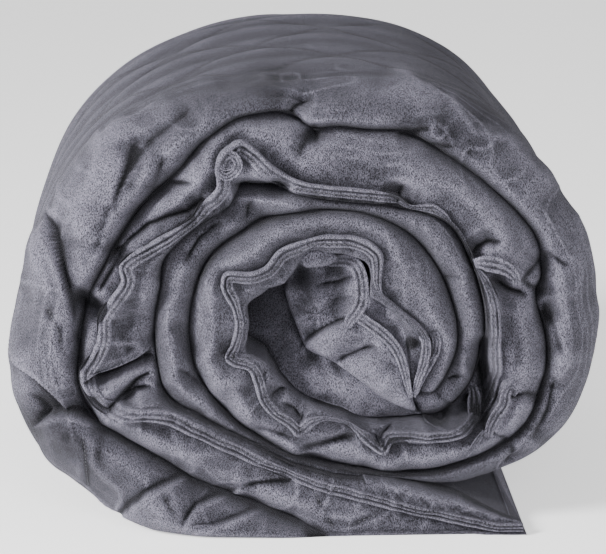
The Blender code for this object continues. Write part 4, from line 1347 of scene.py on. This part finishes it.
def stitch_tree(material):
    """Node tree: stitches spaced along curves, each lying along its curve."""
    tree = bpy.data.node_groups.new("stitch_rows", "GeometryNodeTree")
    tree.interface.new_socket("Geometry", in_out="INPUT", socket_type="NodeSocketGeometry")
    sizes = {}
    for name in ("Pitch", "Length", "Width"):
        socket = tree.interface.new_socket(name, in_out="INPUT", socket_type="NodeSocketFloat")
        sizes[name] = socket.identifier
    tree.interface.new_socket("Geometry", in_out="OUTPUT", socket_type="NodeSocketGeometry")
    given, result = node(tree, "NodeGroupInput"), node(tree, "NodeGroupOutput")
    curves = node(tree, "GeometryNodeMeshToCurve")
    spaced = node(tree, "GeometryNodeResampleCurve", mode="LENGTH")
    ball = node(tree, "GeometryNodeMeshIcoSphere")
    ball.inputs["Radius"].default_value = 0.5
    ball.inputs["Subdivisions"].default_value = 1
    along = node(tree, "GeometryNodeInputTangent")
    turned = node(tree, "FunctionNodeAlignRotationToVector", axis="Z")
    varied = node(tree, "FunctionNodeRandomValue", data_type="FLOAT")
    varied.inputs[2].default_value, varied.inputs[3].default_value = 0.8, 1.1
    varied.inputs["Seed"].default_value = 4
    long = node(tree, "ShaderNodeMath", operation="MULTIPLY")
    size = node(tree, "ShaderNodeCombineXYZ")
    placed_balls = node(tree, "GeometryNodeInstanceOnPoints")
    real = node(tree, "GeometryNodeRealizeInstances")
    dressed = node(tree, "GeometryNodeSetMaterial")
    dressed.inputs["Material"].default_value = material
    join(
        tree,
        (given.outputs["Geometry"], curves.inputs["Mesh"]),
        (curves.outputs["Curve"], spaced.inputs["Curve"]),
        (given.outputs["Pitch"], spaced.inputs["Length"]),
        (along.outputs["Tangent"], turned.inputs["Vector"]),
        (given.outputs["Length"], long.inputs[0]),
        (varied.outputs[1], long.inputs[1]),
        (given.outputs["Width"], size.inputs["X"]),
        (given.outputs["Width"], size.inputs["Y"]),
        (long.outputs[0], size.inputs["Z"]),
        (spaced.outputs["Curve"], placed_balls.inputs["Points"]),
        (ball.outputs["Mesh"], placed_balls.inputs["Instance"]),
        (turned.outputs["Rotation"], placed_balls.inputs["Rotation"]),
        (size.outputs["Vector"], placed_balls.inputs["Scale"]),
        (placed_balls.outputs["Instances"], real.inputs["Geometry"]),
        (real.outputs["Geometry"], dressed.inputs["Geometry"]),
        (dressed.outputs["Geometry"], result.inputs["Geometry"]),
    )
    return tree, sizes


def stitches(skin, material):
    """All stitches, as one plain mesh."""
    bpy.context.view_layer.update()
    points, edges = [], []
    for run in [*hem_runs(skin), *rim_runs(skin), *end_runs(skin)]:
        if len(run) < 4:
            continue
        first = len(points)
        points += run
        edges += [(number, number + 1) for number in range(first, len(points) - 1)]
    data = bpy.data.meshes.new("stitch_lines")
    data.from_pydata((np.array(points) * MM).tolist(), edges, [])
    piece = bpy.data.objects.new("stitches", data)
    bpy.context.scene.collection.objects.link(piece)
    tree, sizes = stitch_tree(material)
    rows = piece.modifiers.new("rows", "NODES")
    rows.node_group = tree
    rows[sizes["Pitch"]] = PITCH * MM
    rows[sizes["Length"]] = STITCH_LENGTH * MM
    rows[sizes["Width"]] = STITCH_WIDTH * MM
    seen = bpy.context.evaluated_depsgraph_get()
    plain = bpy.data.meshes.new_from_object(piece.evaluated_get(seen), depsgraph=seen)
    piece.modifiers.remove(rows)
    piece.data = plain
    plain.name = "stitches"
    plain.shade_smooth()
    return piece


# ------------------------------------------------------------------ materials

DARK_NAP, PALE_NAP = (0.012, 0.0115, 0.0145, 1), (0.125, 0.12, 0.15, 1)
# Painted shade and highlight: what the nap's colour is multiplied by, from painted shade at the bottom of a
# crease to a painted highlight on the top of a crest
PAINTED_LIGHT_AND_SHADE_TONES = ((0.1, (0.04, 0.04, 0.045, 1)), (0.5, (0.8, 0.8, 0.82, 1)), (0.9, (2.1, 2.09, 2.13, 1)))
NAP_SCALE, TUFT_SCALE, BRUSHED_SCALE = 2200, 1700, 36
NAP_LEANS = (35, -50)                        # degrees by which the two naps lean
NAP_STRETCH = (1, 0.45, 0.35)
NAP_CONTRAST, BRUSHED_CONTRAST = 3.4, 0.45
TONE_START = 4.81                            # taken off their sum, to bring it between 0 and 1
DARK_THREAD, PALE_THREAD = (0.04, 0.039, 0.047, 1), (0.16, 0.156, 0.18, 1)


def plush_material():
    """Grey plush: a dense nap brushed lighter and darker in patches, with painted highlights on its crests
    and painted shade in its creases.
    """
    material, tree, shader = shaded_tree("plush_grey")
    shader.inputs["Roughness"].default_value = 0.85
    shader.inputs["Sheen Weight"].default_value = 0.18
    shader.inputs["Sheen Roughness"].default_value = 0.3
    shader.inputs["Sheen Tint"].default_value = (0.74, 0.72, 0.86, 1)
    shader.inputs["Specular IOR Level"].default_value = 0.15
    place = node(tree, "ShaderNodeTexCoord")

    def grain(scale, detail, rough, lean=0.0, stretch=(1, 1, 1)):
        """Noise drawn out along a direction that leans this many degrees."""
        turned = node(tree, "ShaderNodeMapping")
        turned.inputs["Rotation"].default_value = (0, math.radians(lean), 0)
        turned.inputs["Scale"].default_value = stretch
        tree.links.new(place.outputs["Object"], turned.inputs["Vector"])
        made = node(tree, "ShaderNodeTexNoise")
        made.inputs["Scale"].default_value = scale
        made.inputs["Detail"].default_value = detail
        made.inputs["Roughness"].default_value = rough
        tree.links.new(turned.outputs["Vector"], made.inputs["Vector"])
        return made.outputs["Fac"]

    def combine(kind, first, second):
        """Two values or outputs, added, subtracted or multiplied."""
        made = node(tree, "ShaderNodeMath", operation=kind)
        for socket, value in zip(made.inputs, (first, second)):
            if isinstance(value, (int, float)):
                socket.default_value = value
            else:
                tree.links.new(value, socket)
        return made.outputs[0]

    left_nap, right_nap = [
        grain(NAP_SCALE, detail=2, rough=0.6, lean=lean, stretch=NAP_STRETCH) for lean in NAP_LEANS
    ]
    tufts = grain(TUFT_SCALE, detail=2, rough=0.6)
    brushed = grain(BRUSHED_SCALE, detail=4, rough=0.6)
    nap = combine("ADD", combine("ADD", left_nap, right_nap), tufts)
    fine, broad = combine("MULTIPLY", nap, NAP_CONTRAST), combine("MULTIPLY", brushed, BRUSHED_CONTRAST)
    tone = combine("SUBTRACT", combine("ADD", fine, broad), TONE_START)
    colour = ramp(tree, (0.0, DARK_NAP), (1.0, PALE_NAP))
    # painted light and shade, multiplied into the nap's colour
    painted_light_and_shade = node(tree, "ShaderNodeAttribute", attribute_name="painted_light_and_shade")
    shade = ramp(tree, *PAINTED_LIGHT_AND_SHADE_TONES)
    blend = node(tree, "ShaderNodeMix", data_type="RGBA", blend_type="MULTIPLY")
    blend.inputs["Factor"].default_value = 1.0
    bump = node(tree, "ShaderNodeBump")
    bump.inputs["Strength"].default_value = 1.0
    bump.inputs["Distance"].default_value = 0.0012
    join(
        tree,
        (tone, colour.inputs["Fac"]),
        (painted_light_and_shade.outputs["Fac"], shade.inputs["Fac"]),
        (colour.outputs["Color"], blend.inputs["A"]),
        (shade.outputs["Color"], blend.inputs["B"]),
        (blend.outputs["Result"], shader.inputs["Base Color"]),
        (nap, bump.inputs["Height"]),
        (bump.outputs["Normal"], shader.inputs["Normal"]),
    )
    return material


def thread_material():
    """Grey polyester thread, a little paler than the plush, with its twist."""
    material, tree, shader = shaded_tree("thread_grey")
    shader.inputs["Roughness"].default_value = 0.55
    place = node(tree, "ShaderNodeTexCoord")
    speckle = node(tree, "ShaderNodeTexNoise")
    speckle.inputs["Scale"].default_value = 900
    colour = ramp(tree, (0.0, DARK_THREAD), (1.0, PALE_THREAD))
    twist = node(tree, "ShaderNodeTexWave")
    twist.inputs["Scale"].default_value = 1800
    twist.inputs["Distortion"].default_value = 2
    bump = node(tree, "ShaderNodeBump")
    bump.inputs["Strength"].default_value = 0.6
    bump.inputs["Distance"].default_value = 0.0001
    join(
        tree,
        (place.outputs["Object"], speckle.inputs["Vector"]),
        (place.outputs["Object"], twist.inputs["Vector"]),
        (speckle.outputs["Fac"], colour.inputs["Fac"]),
        (colour.outputs["Color"], shader.inputs["Base Color"]),
        (twist.outputs["Fac"], bump.inputs["Height"]),
        (bump.outputs["Normal"], shader.inputs["Normal"]),
    )
    return material


# ------------------------------------------------------------------ studio

def floor():
    """The pale ground under the roll."""
    data = bpy.data.meshes.new("floor")
    data.from_pydata([(-6, -6, 0), (6, -6, 0), (6, 6, 0), (-6, 6, 0)], [], [(0, 1, 2, 3)])
    ground = bpy.data.objects.new("floor", data)
    bpy.context.scene.collection.objects.link(ground)
    material, _, shader = shaded_tree("pale_floor")
    shader.inputs["Base Color"].default_value = (0.97, 0.97, 0.97, 1)
    shader.inputs["Roughness"].default_value = 0.9
    shader.inputs["Emission Color"].default_value = (1, 1, 1, 1)
    shader.inputs["Emission Strength"].default_value = 0.8
    data.materials.append(material)


def lamp(name, place, aim, size, power):
    """A round soft lamp; places and sizes in metres."""
    data = bpy.data.lights.new(name, "AREA")
    data.shape = "DISK"
    data.size = size
    data.energy = power
    light = bpy.data.objects.new(name, data)
    light.location = place
    light.rotation_mode = "QUATERNION"
    light.rotation_quaternion = (Vector(aim) - Vector(place)).to_track_quat("-Z", "Y")
    bpy.context.scene.collection.objects.link(light)


def studio():
    """Even light from all round, weaker from above, a key lamp on the left and a fill in front."""
    world = bpy.data.worlds.new("studio")
    bpy.context.scene.world = world
    world.use_nodes = True
    tree = world.node_tree
    background = tree.nodes["Background"]
    background.inputs["Strength"].default_value = 0.78
    place = node(tree, "ShaderNodeTexCoord")
    split = node(tree, "ShaderNodeSeparateXYZ")
    sky = ramp(tree, (0.15, (1, 1, 1, 1)), (0.9, (0.38, 0.38, 0.38, 1)))
    join(
        tree,
        (place.outputs["Generated"], split.inputs["Vector"]),
        (split.outputs["Z"], sky.inputs["Fac"]),
        (sky.outputs["Color"], background.inputs["Color"]),
    )
    aim = (0, -0.1, 0.16)
    lamp("key_left", (-2.2, -1.5, 1.35), aim, size=0.8, power=185)
    lamp("fill_front", (0.5, -2.6, 1.1), aim, size=1.6, power=40)
    floor()


def camera():
    """The camera that took the photograph."""
    data = bpy.data.cameras.new("camera")
    data.sensor_width = SENSOR_MM
    data.lens = FOCAL_PX / PHOTO_WIDTH * SENSOR_MM
    data.clip_start, data.clip_end = 0.1, 100
    view = bpy.data.objects.new("camera", data)
    view.location = Vector(CAMERA_PLACE.tolist()) * MM
    view.rotation_mode = "QUATERNION"
    view.rotation_quaternion = Vector(CAMERA_FORWARD.tolist()).to_track_quat("-Z", "Y")
    bpy.context.scene.collection.objects.link(view)
    bpy.context.scene.camera = view


# ------------------------------------------------------------------ the object

PAINTED_LIGHT_OFFSET = {"blanket_skin": 0.0, "hem_tuck": -0.3, "hem_tail": 0.0}     # painted light added to a piece's colour, painted shade where negative
PAINTED_LIGHT_OFFSET_OTHERS = 0.12
camera()
PLUSH = plush_material()
skin, hem_gathers, skin_shade, skin_lifts = blanket_skin()
relieve(skin, hem_gathers, skin_lifts)
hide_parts("rolled_blanket")
parts = loose_parts()
for piece in parts[:2]:
    relieve(piece)
for piece in [skin, *parts]:
    store_painted_light_and_shade(piece, PAINTED_LIGHT_OFFSET.get(piece.name, PAINTED_LIGHT_OFFSET_OTHERS), skin_shade if piece is skin else 0.0)
    piece.data.materials.append(PLUSH)
    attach(piece, "root")
thread = stitches(skin, thread_material())
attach(thread, "root")
studio()
